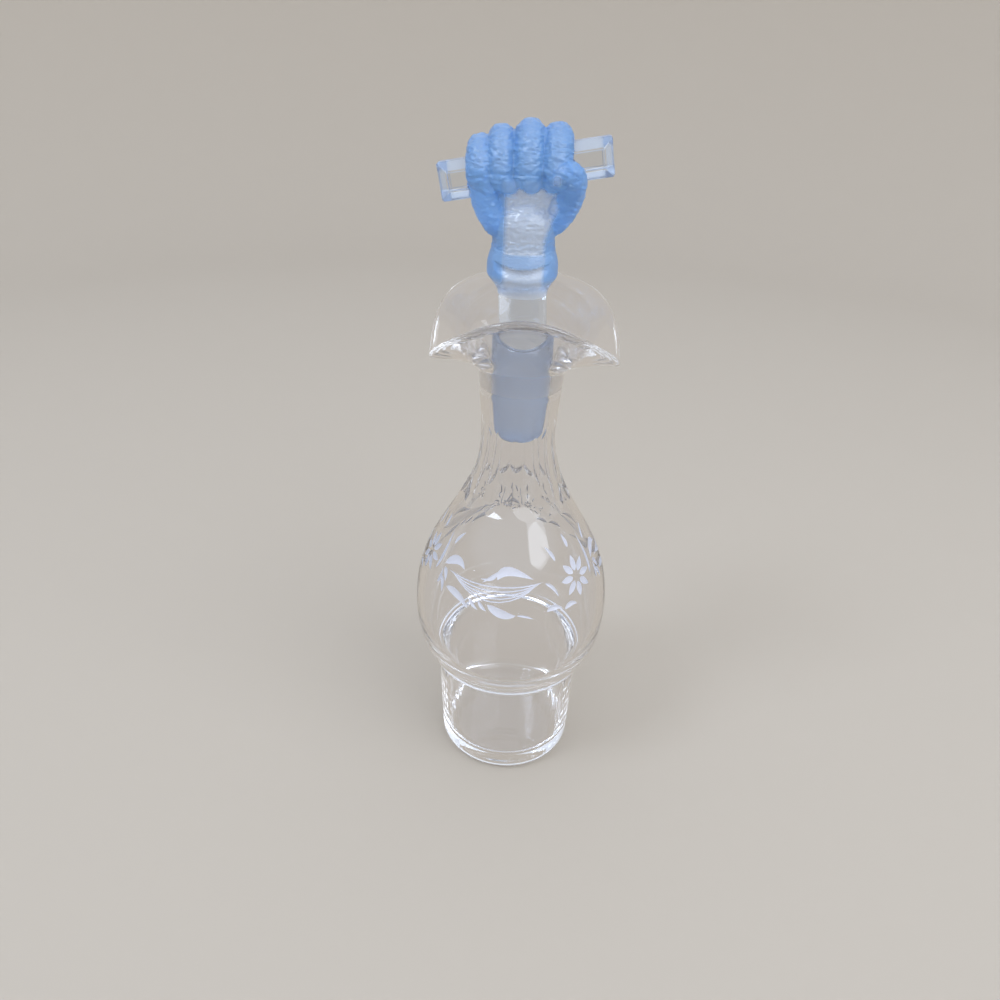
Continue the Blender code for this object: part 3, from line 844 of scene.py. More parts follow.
@dataclass
class Garland:
    """The leaf garland engraved round the shoulder: its cuts for one of its equal repeats."""

    wall: WallLine
    leaf_depth: float = 0.28 * MM
    line_depth: float = 0.12 * MM
    line_width: float = 0.4
    line_start: Pair = (-46.0, 77.3)
    line_middle: float = -12.0
    line_end: Pair = (21.5, 78.3)
    line_step: Pair = (1.2, 0.1)
    line_sags: tuple[float, ...] = (77.2, 76.1, 75.1, 74.2, 73.3)
    flower_middle: Pair = (47.5, 77.0)
    petal_count: int = 8
    petal_reaches: tuple[Pair, ...] = ((3.2, 1.4), (8.2, 3.5), (13.0, 5.6))
    petal_width: float = 2.0

    def cut(self, start: Pair, bend: Pair, end: Pair, width: float,
            shape: CutShape = CutShape.LEAF) -> EngravedCut:
        """Make a cut from places given as an angle and a height in millimetres, like its width."""
        places = [(degrees, height * MM) for degrees, height in (start, bend, end)]
        depth = self.line_depth if shape is CutShape.LINE else self.leaf_depth
        return EngravedCut(self.wall, *places, width * MM, depth, shape)

    def festoon(self) -> list[EngravedCut]:
        """Make the lines that sag together between two bundles of leaves."""
        (left, left_rise), (right, right_rise) = self.line_start, self.line_end
        inwards, closer = self.line_step
        return [self.cut((left + inwards * index, left_rise + closer * index),
                         (self.line_middle, sag),
                         (right - inwards * index, right_rise - closer * index),
                         self.line_width, CutShape.LINE)
                for index, sag in enumerate(self.line_sags)]

    def leaves(self) -> list[EngravedCut]:
        """Make the leaves above and below the festoon."""
        return [
            self.cut((-43.5, 72.9), (-34.0, 72.4), (-25.4, 69.8), 2.2),
            self.cut((-25.5, 73.0), (-22.6, 71.4), (-19.0, 70.3), 1.1),
            self.cut((-19.5, 72.9), (-17.0, 71.5), (-13.8, 70.5), 1.1),
            self.cut((-13.8, 72.4), (-4.5, 70.3), (3.6, 70.1), 2.6),
            self.cut((4.0, 70.1), (9.0, 69.8), (13.9, 68.9), 0.7),
            self.cut((22.0, 70.4), (27.0, 71.2), (32.5, 70.2), 1.6),
            self.cut((34.0, 69.6), (38.6, 70.6), (43.5, 69.8), 1.6),
            self.cut((22.5, 77.9), (27.5, 76.4), (31.0, 73.6), 1.0),
            self.cut((-51.0, 78.0), (-42.0, 80.6), (-33.5, 79.2), 2.6),
            self.cut((-50.2, 77.0), (-47.6, 76.2), (-45.6, 73.8), 1.5),
            self.cut((-50.0, 74.6), (-47.6, 73.2), (-46.0, 70.6), 1.3),
            self.cut((-5.0, 81.6), (-12.0, 79.8), (-19.0, 77.7), 1.0),
            self.cut((-9.7, 80.2), (-14.0, 78.9), (-20.5, 78.6), 0.9),
            self.cut((-9.0, 79.0), (-2.0, 81.4), (15.0, 79.3), 2.6),
        ]

    def flower(self) -> list[EngravedCut]:
        """Make the round flower between two festoons, and its spray of long thin leaves."""
        petals = []
        for index in range(self.petal_count):
            turn = math.tau * index / self.petal_count
            out, up = math.cos(turn), math.sin(turn)
            places = [(self.flower_middle[0] + wide * out, self.flower_middle[1] + high * up)
                      for wide, high in self.petal_reaches]
            petals.append(self.cut(*places, self.petal_width))
        spray = [
            self.cut((61.5, 75.0), (63.6, 80.0), (62.0, 86.5), 1.1),
            self.cut((-50.5, 83.5), (-48.5, 85.6), (-44.0, 87.5), 1.0),
            self.cut((-52.3, 72.2), (-50.8, 74.2), (-51.3, 76.6), 1.1),
            self.cut((33.0, 82.6), (30.5, 84.8), (26.0, 86.6), 1.0),
            self.cut((47.5, 84.6), (47.0, 86.4), (45.0, 88.4), 1.1),
        ]
        return petals + spray

    def cuts(self) -> list[EngravedCut]:
        """List all the cuts of one repeat."""
        return self.festoon() + self.leaves() + self.flower()


@dataclass
class Bottle:
    """The blown bottle: foot, ledge, belly, engraved shoulder, fluted neck and saddle lip."""

    foot_height: float = 37.0 * MM
    foot_base_radius: float = 21.5 * MM
    foot_top_radius: float = 22.6 * MM
    foot_edge_round: float = 3.5 * MM
    foot_wall: float = 2.4 * MM
    foot_floor: float = 4.5 * MM
    foot_hollow_round: float = 4.0 * MM
    inner_step_drop: float = 5.0 * MM
    inner_step_inset: float = 0.1 * MM
    inner_step_start: Pair = (0.2 * MM, 3.5 * MM)
    inner_step_end: Pair = (1.4 * MM, 1.5 * MM)
    ledge_width: float = 2.2 * MM
    ledge_band: float = 1.3 * MM
    ledge_round: float = 0.5 * MM
    body_radius: float = 29.4 * MM
    body_wall: float = 2.2 * MM
    belly_height: float = 17.7 * MM
    belly_start_shares: Pair = (0.62, 0.2)
    belly_end_share: float = 0.4
    shoulder_height: float = 60.0 * MM
    shoulder_shares: Pair = (0.46, 0.47)
    neck_height: float = 15.0 * MM
    neck_shares: Pair = (0.35, 0.35)
    neck_wall: float = 2.4 * MM
    neck_top_wall: float = 3.2 * MM
    socket_radius: float = 8.1 * MM
    socket_taper: float = 0.06
    socket_length: float = 6.0 * MM
    socket_relief: float = 0.25 * MM
    socket_fade: float = 2.5 * MM
    socket_fade_shares: Pair = (0.5, 0.5)
    socket_rise: float = 1.3 * MM
    band_bottom: float = 64.0 * MM
    band_top: float = 92.0 * MM
    band_rows: int = 32
    band_clearance: float = 0.4 * MM
    garland_left: float = -53.5
    garland_repeats: int = 3
    flute_count: int = 10
    flute_turn: float = 14.5
    flute_bottom: float = 93.0 * MM
    flute_top: float = 118.0 * MM
    flute_edge: float = 0.4
    flute_bottom_round: float = 4.5 * MM
    flute_top_round: float = 8.0 * MM
    flute_scoop: float = 0.45 * MM
    flute_scoop_length: float = 7.0 * MM
    neck_rows: int = 48
    neck_clearance: float = 0.22 * MM
    columns: int = 180
    column_start: float = 0.5
    sharp_angle: float = 35.0
    flat_shares: tuple[float, ...] = (0.25, 0.5, 0.75)
    round_steps: int = 8
    foot_steps: int = 12
    foot_hollow_steps: int = 10
    inner_step_steps: int = 12
    ledge_steps: int = 4
    belly_steps: int = 18
    below_band_steps: int = 8
    shoulder_steps: int = 54
    fine_steps: int = 160

    def __post_init__(self) -> None:
        """Work out the levels, the outer wall's line and the lip."""
        self.ledge_radius = self.foot_top_radius + self.ledge_width
        self.belly_z = self.foot_height + self.ledge_band
        self.widest_z = self.belly_z + self.belly_height
        self.waist_z = self.widest_z + self.shoulder_height
        self.neck_top_z = self.waist_z + self.neck_height
        self.socket_z = self.neck_top_z + self.socket_rise
        self.socket_bottom_z = self.socket_z - self.socket_length
        self.socket_bottom_radius = self.socket_radius - self.socket_taper * self.socket_length
        self.bore_radius = self.socket_bottom_radius + self.socket_relief
        self.neck_radius = self.bore_radius + self.neck_wall
        self.neck_top_radius = self.socket_radius + self.neck_top_wall
        self.wall = WallLine(
            self.belly(self.ledge_radius, self.body_radius, self.belly_z, self.fine_steps)
            + swerve((self.body_radius, self.widest_z), (self.neck_radius, self.waist_z),
                     *self.shoulder_shares, self.fine_steps)[1:]
            + swerve((self.neck_radius, self.waist_z), (self.neck_top_radius, self.neck_top_z),
                     *self.neck_shares, self.fine_steps)[1:])
        self.lip = SaddleLip(self.neck_top_radius, self.socket_radius, self.neck_top_z,
                             self.socket_z)

    def belly(self, ledge_radius: float, widest_radius: float, foot_z: float,
              steps: int) -> list[Pair]:
        """List the curve from the ledge up to the widest level, on either side of the wall."""
        swell = widest_radius - ledge_radius
        rise = self.widest_z - foot_z
        out, up = self.belly_start_shares
        return bezier((ledge_radius, foot_z), (ledge_radius + out * swell, foot_z + up * rise),
                      (widest_radius, self.widest_z - self.belly_end_share * rise),
                      (widest_radius, self.widest_z), steps)

    def foot_line(self) -> list[Pair]:
        """List the outside from the middle of the underside up to the band's lower border."""
        flat_radius = self.foot_base_radius - self.foot_edge_round
        line = [(0.0, 0.0)]
        line += [(share * flat_radius, 0.0) for share in self.flat_shares]
        line += arc((flat_radius, self.foot_edge_round), self.foot_edge_round, -90, 0,
                    self.round_steps)
        line += straight(line[-1], (self.foot_top_radius, self.foot_height), self.foot_steps)
        line += arc((self.ledge_radius - self.ledge_round, self.foot_height + self.ledge_round),
                    self.ledge_round, -90, 0, self.ledge_steps)
        line += self.belly(self.ledge_radius, self.body_radius, self.belly_z, self.belly_steps)
        above_belly = straight((0.0, self.widest_z), (0.0, self.band_bottom), self.below_band_steps)
        line += [(self.wall.radius(height), height) for _, height in above_belly]
        return line

    def hollow_line(self) -> list[Pair]:
        """List the hollow's side from the top of the socket down to the middle of its floor."""
        flat_radius = self.foot_base_radius - self.foot_wall - self.foot_hollow_round
        line = [(0.0, self.foot_floor)]
        line += [(share * flat_radius, self.foot_floor) for share in self.flat_shares]
        line += arc((flat_radius, self.foot_floor + self.foot_hollow_round),
                    self.foot_hollow_round, -90, 0, self.round_steps)
        low = (self.foot_top_radius - self.foot_wall - self.inner_step_inset,
               self.foot_height - self.inner_step_drop)
        line += straight(line[-1], low, self.foot_hollow_steps)
        belly = self.belly(self.ledge_radius - self.body_wall, self.body_radius - self.body_wall,
                           self.belly_z + self.body_wall, self.belly_steps)
        (out, up), (inwards, down) = self.inner_step_start, self.inner_step_end
        line += bezier(low, (low[0] + out, low[1] + up),
                       (belly[0][0] - inwards, belly[0][1] - down), belly[0],
                       self.inner_step_steps)[1:]
        line += belly[1:]
        line += swerve((self.body_radius - self.body_wall, self.widest_z),
                       (self.bore_radius, self.waist_z), *self.shoulder_shares,
                       self.shoulder_steps)[1:]
        line += swerve((self.bore_radius, self.socket_bottom_z - self.socket_fade),
                       (self.socket_bottom_radius, self.socket_bottom_z),
                       *self.socket_fade_shares, self.round_steps)
        return line[::-1]

    def shell(self) -> bpy.types.Object:
        """Build the plain parts of the wall, below the engraved band and above the flutes."""
        angles = [self.column_start + 360 * column / self.columns for column in range(self.columns)]
        low = self.foot_line()
        high = [self.lip.section(angle) + self.hollow_line() for angle in angles]
        work = loft([ring(point, angles) for point in low])
        upper = loft([[around(column[row][0], angle, column[row][1])
                       for column, angle in zip(high, angles)] for row in range(len(high[0]))])
        surface = work.faces.layers.int.new("surface")
        skin = work.faces.layers.int.new("skin")
        for face in work.faces:
            level = face.calc_center_median().z
            if level > self.belly_z:
                face[skin] = Skin.TURNED
            elif self.foot_edge_round < level < self.foot_height - self.foot_edge_round:
                face[surface] = Surface.STREAKED
        plain = bpy.data.meshes.new("upper_shell")
        layer = upper.faces.layers.int.new("surface")
        upper.faces.layers.int.new("skin")
        socket_row = len(self.lip.section(0.0)) - 1
        upper.faces.ensure_lookup_table()
        for face in upper.faces[socket_row * self.columns:(socket_row + 1) * self.columns]:
            face[layer] = Surface.GROUND
        upper.to_mesh(plain)
        upper.free()
        work.from_mesh(plain)
        mesh = bpy.data.meshes.new("shell")
        work.to_mesh(mesh)
        work.free()
        return add_object("blown_bottle", mesh)

    def sectors(self) -> tuple[bpy.types.Object, bpy.types.Object]:
        """Build one repeat of the engraved band and one flute of the neck."""
        repeat = 360 / self.garland_repeats
        band = CarvedSector("band_sector", self.wall, left=self.garland_left,
                            right=self.garland_left + repeat, bottom=self.band_bottom,
                            top=self.band_top, rows=self.band_rows,
                            columns=self.columns // self.garland_repeats,
                            cuts=Garland(self.wall).cuts(), clear_of_cuts=self.band_clearance)
        pitch = 360 / self.flute_count
        self.flute = Flute(self.wall, self.flute_bottom, self.flute_top,
                           half_angle=pitch / 2 - self.flute_edge,
                           bottom_round=self.flute_bottom_round, top_round=self.flute_top_round,
                           scoop=self.flute_scoop, scoop_length=self.flute_scoop_length)
        neck = CarvedSector("neck_sector", self.wall, left=-pitch / 2, right=pitch / 2,
                            bottom=self.band_top, top=self.neck_top_z, rows=self.neck_rows,
                            columns=self.columns // self.flute_count, cuts=[self.flute],
                            clear_of_cuts=self.neck_clearance)
        made = neck.build()
        made.data.transform(Matrix.Rotation(math.radians(self.flute_turn), 4, "Z"))
        return band.build(), made

    def point_normals(self, mesh: bpy.types.Mesh) -> None:
        """Let the turned wall's and the flutes' faces shine as true curves, not as a triangle net.

        Args:
            mesh: The finished mesh, whose faces still carry their skin numbers.
        """
        mesh.set_sharp_from_angle(angle=math.radians(self.sharp_angle))
        rims = mesh.attributes["rim"].data
        for edge in mesh.edges:
            if rims[edge.index].value:
                edge.use_edge_sharp = True
        pitch = 360 / self.flute_count
        skins = [item.value for item in mesh.attributes["skin"].data]
        normals = [corner.vector.copy() for corner in mesh.corner_normals]
        for face in mesh.polygons:
            if skins[face.index] == Skin.MESH:
                continue
            middle = math.degrees(math.atan2(face.center.x, -face.center.y)) - self.flute_turn
            panel = round(middle / pitch) * pitch + self.flute_turn
            for corner in face.loop_indices:
                place = mesh.vertices[mesh.loops[corner].vertex_index].co
                degrees = math.degrees(math.atan2(place.x, -place.y))
                if skins[face.index] == Skin.FLUTE:
                    off_middle = (degrees - panel + 180) % 360 - 180
                    turn = Matrix.Rotation(math.radians(panel), 3, "Z")
                    normals[corner] = turn @ self.flute.outward(off_middle, place.z)
                else:
                    normals[corner] = self.wall.outward(degrees, place.z)
        mesh.normals_split_custom_set(normals)

    def build(self) -> bpy.types.Object:
        """Build and dress the whole bottle as one closed skin of glass."""
        item = self.shell()
        band, neck = self.sectors()
        add_tree(item, WallJoinery().build(), {
            "Band sector": band, "Band count": self.garland_repeats, "Neck sector": neck,
            "Neck count": self.flute_count, "Merge distance": MERGE_DISTANCE,
            "Polished": BLOWN_GLASS.make(), "Wheel cut": WHEEL_CUT.make(),
            "Ground": GROUND_SOCKET.make(), "Streaked": STREAKED_GLASS.make()})
        mesh = settle(item)
        for sector in (band, neck):
            bpy.data.objects.remove(sector)
        work = bmesh.new()
        work.from_mesh(mesh)
        bmesh.ops.recalc_face_normals(work, faces=work.faces)
        work.to_mesh(mesh)
        work.free()
        mesh.shade_smooth()
        self.point_normals(mesh)
        for name in ("rim", "skin", "surface"):
            mesh.attributes.remove(mesh.attributes[name])
        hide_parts("bottle")
        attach(item, "bottle")
        log_piece(item)
        return item


@dataclass
class Stem:
    """The turned length of the stopper: plug, shank, flare and the wrist inside the fist's skin."""

    plug_top_z: float = 132.3 * MM
    plug_top_radius: float = 7.8 * MM
    plug_end_radius: float = 6.6 * MM
    plug_length: float = 20.0 * MM
    plug_end_round: float = 2.4 * MM
    plug_shoulder: float = 6.5 * MM
    plug_shoulder_round: float = 0.8 * MM
    plug_rim_out: float = 0.12 * MM
    plug_rim_in: float = 0.2 * MM
    plug_rim_drop: float = 0.35 * MM
    shank_radius: float = 6.1 * MM
    shank_length: float = 11.2 * MM
    shank_fillet: float = 0.5 * MM
    cuff_radius: float = 8.75 * MM
    cuff_flare: float = 6.5 * MM
    cuff_flare_shares: Pair = (0.62, 0.3)
    cuff_band: float = 2.6 * MM
    wrist_radius: float = 7.5 * MM
    wrist_rise: float = 5.0 * MM
    wrist_shares: Pair = (0.4, 0.4)
    wrist_top_radius: float = 7.9 * MM
    wrist_top_rise: float = 3.6 * MM
    wrist_top_shares: Pair = (0.5, 0.5)
    wrist_dome: float = 6.5 * MM
    wrist_dome_share: float = 0.5
    hand_offset: float = -1.0 * MM
    columns: int = 160
    round_steps: int = 8
    plug_steps: int = 6
    fillet_steps: int = 4
    flare_steps: int = 22
    wrist_steps: int = 12
    dome_steps: int = 10

    def __post_init__(self) -> None:
        """Work out the levels."""
        self.shoulder_z = self.plug_top_z + self.plug_shoulder
        self.cuff_z = self.shoulder_z + self.shank_length + self.cuff_flare
        self.wrist_z = self.cuff_z + self.cuff_band + self.wrist_rise

    def plug_line(self) -> list[Pair]:
        """List the side from the plug's end up to the cuff's lower edge."""
        end_z = self.plug_top_z - self.plug_length
        middle = (self.plug_end_radius - self.plug_end_round, end_z + self.plug_end_round)
        rim_radius = self.plug_top_radius - self.plug_shoulder_round
        line = [(0.0, end_z), (middle[0] / 2, end_z)]
        line += arc(middle, self.plug_end_round, -90, 0, self.round_steps)
        line += straight(line[-1], (self.plug_top_radius, self.plug_top_z), self.plug_steps)
        line.append((rim_radius + self.plug_rim_out, self.shoulder_z - self.plug_rim_drop))
        line.append((rim_radius - self.plug_rim_in, self.shoulder_z))
        line += arc((self.shank_radius + self.shank_fillet, self.shoulder_z + self.shank_fillet),
                    self.shank_fillet, -90, -180, self.fillet_steps)
        line.append((self.shank_radius,
                     self.shoulder_z + self.plug_shoulder_round + self.shank_fillet))
        line += swerve((self.shank_radius, self.cuff_z - self.cuff_flare),
                       (self.cuff_radius, self.cuff_z), *self.cuff_flare_shares, self.flare_steps)
        return line

    def wrist_line(self, bottom: float) -> list[Pair]:
        """List the side from below the cuff up to the wrist's dome inside the fist."""
        top = (self.wrist_top_radius, self.wrist_z + self.wrist_top_rise)
        dome_z = top[1] + self.wrist_dome
        share = self.wrist_dome_share
        line = [(0.0, bottom), (self.cuff_radius, bottom), (self.cuff_radius, self.cuff_z)]
        line += swerve((self.cuff_radius, self.cuff_z + self.cuff_band / 2),
                       (self.wrist_radius, self.wrist_z), *self.wrist_shares, self.wrist_steps)
        line += swerve((self.wrist_radius, self.wrist_z), top, *self.wrist_top_shares,
                       self.round_steps)[1:]
        line += bezier(top, (top[0], top[1] + share * self.wrist_dome), (share * top[0], dome_z),
                       (0.0, dome_z), self.dome_steps)[1:]
        return line

    def turned(self, line: list[Pair]) -> bmesh.types.BMesh:
        """Turn a side about the axis, drifting sideways above the plug to the hand's middle."""
        angles = [360 * column / self.columns for column in range(self.columns)]
        sections = [ring(point, angles) for point in line]
        span = self.cuff_z - self.shoulder_z
        for section in sections:
            for place in section:
                share = min(max((place.z - self.shoulder_z) / span, 0.0), 1.0)
                place.x += share * self.hand_offset
        return loft(sections)


@dataclass
class Digit:
    """A finger, the thumb or the heel: the places along its middle and its radius at each."""

    places: list[Vector]
    radii: list[float]
    across: Vector
    bluntness: float = 1.0
    corners: int = 28
    cap_steps: int = 6

    def build(self) -> bmesh.types.BMesh:
        """Build the digit as a closed tube with rounded ends."""
        sections = []
        count = len(self.places)
        turns = [math.tau * corner / self.corners for corner in range(self.corners)]
        for index, (place, radius) in enumerate(zip(self.places, self.radii)):
            ahead = self.places[min(index + 1, count - 1)] - self.places[max(index - 1, 0)]
            ahead.normalize()
            side = (self.across - ahead * self.across.dot(ahead)).normalized()
            other = ahead.cross(side)
            rings = [(0.0, 1.0)]
            if index in (0, count - 1):
                rings = [(math.sin(math.pi / 2 * step / self.cap_steps),
                          math.cos(math.pi / 2 * step / self.cap_steps))
                         for step in range(self.cap_steps + 1)]
            if index == 0:
                rings = [(-out, wide) for out, wide in reversed(rings)]
            else:
                rings = [(out * self.bluntness, wide) for out, wide in rings]
            for out, wide in rings:
                middle = place + ahead * out * radius
                sections.append([middle + side * math.cos(turn) * wide * radius
                                 + other * math.sin(turn) * wide * radius for turn in turns])
        return loft(sections)


@dataclass
class FingerSizes:
    """One curled finger: its place across the hand, how high and low it reaches, and its radius."""

    top_x: float
    tip_x: float
    top_rise: float
    tip_rise: float
    radius: float


@dataclass
class Nail:
    """A nail pressed into the front of the hand, given across the hand and above the wrist."""

    across: float
    rise: float
    half_width: float
    half_height: float
    frost: float
    corner: float = 0.9 * MM

    def away(self, across: float, rise: float) -> float:
        """Give how far a place lies outside the nail's border, negative within it."""
        wide = abs(across - self.across) - self.half_width + self.corner
        high = abs(rise - self.rise) - self.half_height + self.corner
        return math.hypot(max(wide, 0.0), max(high, 0.0)) + min(max(wide, high), 0.0) - self.corner


@dataclass
class RippledSkin:
    """The Geometry Nodes tree that presses fine cross ripples into the hand's skin."""

    name: str = "cross_ripples_in_the_skin"
    spacing: float = 0.85 * MM
    depth: float = 0.8 * MM
    pattern: Pattern = Pattern(stretch=(0.45, 0.45, 1.0), detail=1.0, distortion=0.5)
    noise_middle: float = 0.5
    seed: int = 7

    def build(self) -> bpy.types.NodeTree:
        """Build the tree, with named inputs for the ripples' spacing, depth and seed."""
        tree = bpy.data.node_groups.new(self.name, "GeometryNodeTree")
        for name, kind in (("Skin", "Geometry"), ("Spacing", "Float"), ("Depth", "Float"),
                           ("Seed", "Float"), ("Satin", "Material")):
            tree.interface.new_socket(name, in_out="INPUT", socket_type=f"NodeSocket{kind}")
        tree.interface.new_socket("Rippled", in_out="OUTPUT", socket_type="NodeSocketGeometry")
        given = add_node(tree, "NodeGroupInput").outputs
        place = add_node(tree, "GeometryNodeInputPosition")
        stretched = add_node(tree, "ShaderNodeVectorMath", {
            0: place.outputs[0], 1: self.pattern.stretch}, operation="MULTIPLY")
        per_spacing = add_node(tree, "ShaderNodeMath", {0: 1.0, 1: given["Spacing"]},
                               operation="DIVIDE")
        counted = add_node(tree, "ShaderNodeVectorMath", {
            0: stretched.outputs[0], "Scale": per_spacing.outputs[0]}, operation="SCALE")
        noise = add_node(tree, "ShaderNodeTexNoise", {
            "Vector": counted.outputs[0], "W": given["Seed"], "Scale": 1.0,
            "Detail": self.pattern.detail, "Distortion": self.pattern.distortion},
            noise_dimensions="4D")
        height = add_node(tree, "ShaderNodeMath", {0: noise.outputs[0], 1: self.noise_middle},
                          operation="SUBTRACT")
        share = add_node(tree, "GeometryNodeInputNamedAttribute", {"Name": "ripple"},
                         data_type="FLOAT")
        wanted = add_node(tree, "ShaderNodeMath", {0: height.outputs[0], 1: share.outputs[0]},
                          operation="MULTIPLY")
        depth = add_node(tree, "ShaderNodeMath", {0: wanted.outputs[0], 1: given["Depth"]},
                         operation="MULTIPLY")
        normal = add_node(tree, "GeometryNodeInputNormal")
        push = add_node(tree, "ShaderNodeVectorMath", {
            0: normal.outputs[0], "Scale": depth.outputs[0]}, operation="SCALE")
        pressed = add_node(tree, "GeometryNodeSetPosition", {
            "Geometry": given["Skin"], "Offset": push.outputs[0]})
        real = add_node(tree, "GeometryNodeRealizeInstances", {0: pressed.outputs[0]})
        dressed = add_node(tree, "GeometryNodeSetMaterial", {
            "Geometry": real.outputs[0], "Material": given["Satin"]})
        add_node(tree, "NodeGroupOutput", {0: dressed.outputs[0]})
        return tree


@dataclass
class Fist:
    """The hand that grips the bar, pressed with ripples in its skin."""

    stem: Stem
    # Little, ring, middle and index finger
    fingers: tuple[FingerSizes, ...] = (
        FingerSizes(-10.7 * MM, -8.8 * MM, 22.6 * MM, 11.5 * MM, 3.1 * MM),
        FingerSizes(-5.9 * MM, -3.6 * MM, 24.8 * MM, 12.3 * MM, 3.2 * MM),
        FingerSizes(0.5 * MM, 1.4 * MM, 26.1 * MM, 13.0 * MM, 3.6 * MM),
        FingerSizes(6.8 * MM, 5.9 * MM, 25.6 * MM, 13.4 * MM, 3.6 * MM),
    )
    tip_share: float = 0.76
    tip_bluntness: float = 0.85
    tip_set_back: float = 0.5 * MM
    loop_depth: float = 5.2 * MM
    back_rise: float = 14.5 * MM
    loop_start: float = -40.0
    loop_steps: int = 24
    fall_steps: int = 12
    palm_half_width: float = 13.2 * MM
    palm_half_depth: float = 7.0 * MM
    palm_drop: float = 14.5 * MM
    palm_crown: float = 8.0 * MM
    palm_rise: float = 14.0 * MM
    palm_backwards: float = 1.6 * MM
    palm_segments: int = 64
    palm_rings: int = 40
    thumb_radius: float = 3.4 * MM
    thumb_across: tuple[float, float, float] = (0.0, -1.0, 0.4)
    thumb_places: int = 33
    thumb_knots: tuple[tuple[float, float, float], ...] = (
        (5.0 * MM, 0.0 * MM, 3.5 * MM), (11.0 * MM, 1.6 * MM, 7.4 * MM),
        (12.2 * MM, 9.2 * MM, 18.2 * MM), (7.6 * MM, 7.8 * MM, 14.5 * MM))
    thumb_shares: tuple[float, ...] = (1.1, 1.1, 1.1, 1.05, 1.0, 1.0, 0.95, 0.86, 0.72)
    heel_radius: float = 3.3 * MM
    heel_places: int = 17
    heel_knots: tuple[tuple[float, float, float], ...] = (
        (-4.0 * MM, 1.0 * MM, 2.0 * MM), (-7.6 * MM, 3.0 * MM, 4.2 * MM),
        (-9.9 * MM, 3.4 * MM, 8.5 * MM), (-9.9 * MM, 3.4 * MM, 13.5 * MM))
    nails: tuple[Nail, ...] = (
        Nail(-3.4 * MM, 12.3 * MM, 2.1 * MM, 1.7 * MM, 0.85),
        Nail(1.4 * MM, 12.5 * MM, 2.0 * MM, 1.7 * MM, 0.85),
        Nail(6.9 * MM, 14.3 * MM, 1.2 * MM, 1.4 * MM, 0.65),
    )
    nail_groove: float = 0.14 * MM
    nail_groove_width: float = 0.3 * MM
    nail_frost_outside: float = 0.2 * MM
    nail_frost_inside: float = 0.7 * MM
    nail_ripple_softness: float = 0.3 * MM
    crease_rise: float = 15.0 * MM
    crease_depth: float = 0.3 * MM
    crease_width: float = 0.6 * MM
    crease_from: float = -8.0 * MM
    crease_to: float = 4.0 * MM
    crease_fade: float = 1.5 * MM
    window_left: float = -4.4 * MM
    window_right: float = 4.9 * MM
    window_spread: float = 2.7 * MM
    window_spread_rise: float = 9.0 * MM
    window_side_softness: float = 0.9 * MM
    window_top: float = 12.0 * MM
    window_top_softness: float = 0.5 * MM
    window_frost: float = 0.15
    window_ripple: float = 1.5
    pad_frost: float = 0.8
    pad_half_width: float = 1.5 * MM
    pad_fade: float = 2.0 * MM
    tips_from: float = 8.0 * MM
    tips_depth: float = 6.1 * MM
    tips_softness: float = 0.5 * MM
    ripple_low: float = -2.3 * MM
    ripple_softness: float = 0.4 * MM
    band_frost: float = 0.75
    band_softness: float = 0.2 * MM
    step_rise: float = -5.5 * MM
    step_lift: float = 1.2 * MM
    step_half_width: float = 6.2 * MM
    step_side_softness: float = 1.0 * MM
    step_depth: float = 0.85 * MM
    step_edge: float = 0.35 * MM
    step_height: float = 2.9 * MM
    step_floor_share: float = 0.3
    fade_low: float = -13.0 * MM
    low_frost: float = 0.1
    sunk_in_stem: float = 6.0 * MM
    voxel: float = 0.225 * MM
    soften_factor: float = 0.5
    soften_times: int = 4

    def place(self, across: float, forwards: float, rise: float) -> Vector:
        """Give the place across from the hand's middle, forwards from it and above the wrist."""
        return Vector((self.stem.hand_offset + across, -forwards, self.stem.wrist_z + rise))

    def seen(self, place: Vector) -> Pair:
        """Give how far a place lies across from the hand's middle and above the wrist."""
        return place.x - self.stem.hand_offset, place.z - self.stem.wrist_z

    def finger(self, sizes: FingerSizes) -> Digit:
        """Lay out one finger, from its knuckle at the back over the bar to its tip in front."""
        rise = sizes.top_rise - sizes.radius
        places, radii = [], []
        for step in range(self.loop_steps + 1):
            turn = math.radians(self.loop_start + (180 - self.loop_start) * step / self.loop_steps)
            places.append(self.place(sizes.top_x, -self.loop_depth * math.cos(turn),
                                     self.back_rise + (rise - self.back_rise) * math.sin(turn)))
            radii.append(sizes.radius)
        for step in range(1, self.fall_steps + 1):
            share = step / self.fall_steps
            places.append(self.place(sizes.top_x + share * (sizes.tip_x - sizes.top_x),
                                     self.loop_depth - share * self.tip_set_back,
                                     self.back_rise + share * (sizes.tip_rise - self.back_rise)))
            radii.append(sizes.radius * (1 - (1 - self.tip_share) * smooth_share(share, 0, 1)))
        return Digit(places, radii, Vector((1, 0, 0)), bluntness=self.tip_bluntness)

    def thumb(self) -> Digit:
        """Lay out the thumb, from the heel of the hand up and over the index finger."""
        knots = [self.place(*knot) for knot in self.thumb_knots]
        places = interpolate_bezier(*knots, self.thumb_places)
        last = len(self.thumb_shares) - 1
        radii = []
        for index in range(len(places)):
            along = index / (len(places) - 1) * last
            low = min(int(along), last - 1)
            share = self.thumb_shares[low] + (along - low) * (
                self.thumb_shares[low + 1] - self.thumb_shares[low])
            radii.append(self.thumb_radius * share)
        return Digit(places, radii, Vector(self.thumb_across))

    def heel(self) -> Digit:
        """Lay out the heel of the hand, below the little finger."""
        knots = [self.place(*knot) for knot in self.heel_knots]
        places = interpolate_bezier(*knots, self.heel_places)
        return Digit(places, [self.heel_radius] * len(places), Vector((0, -1, 0)))

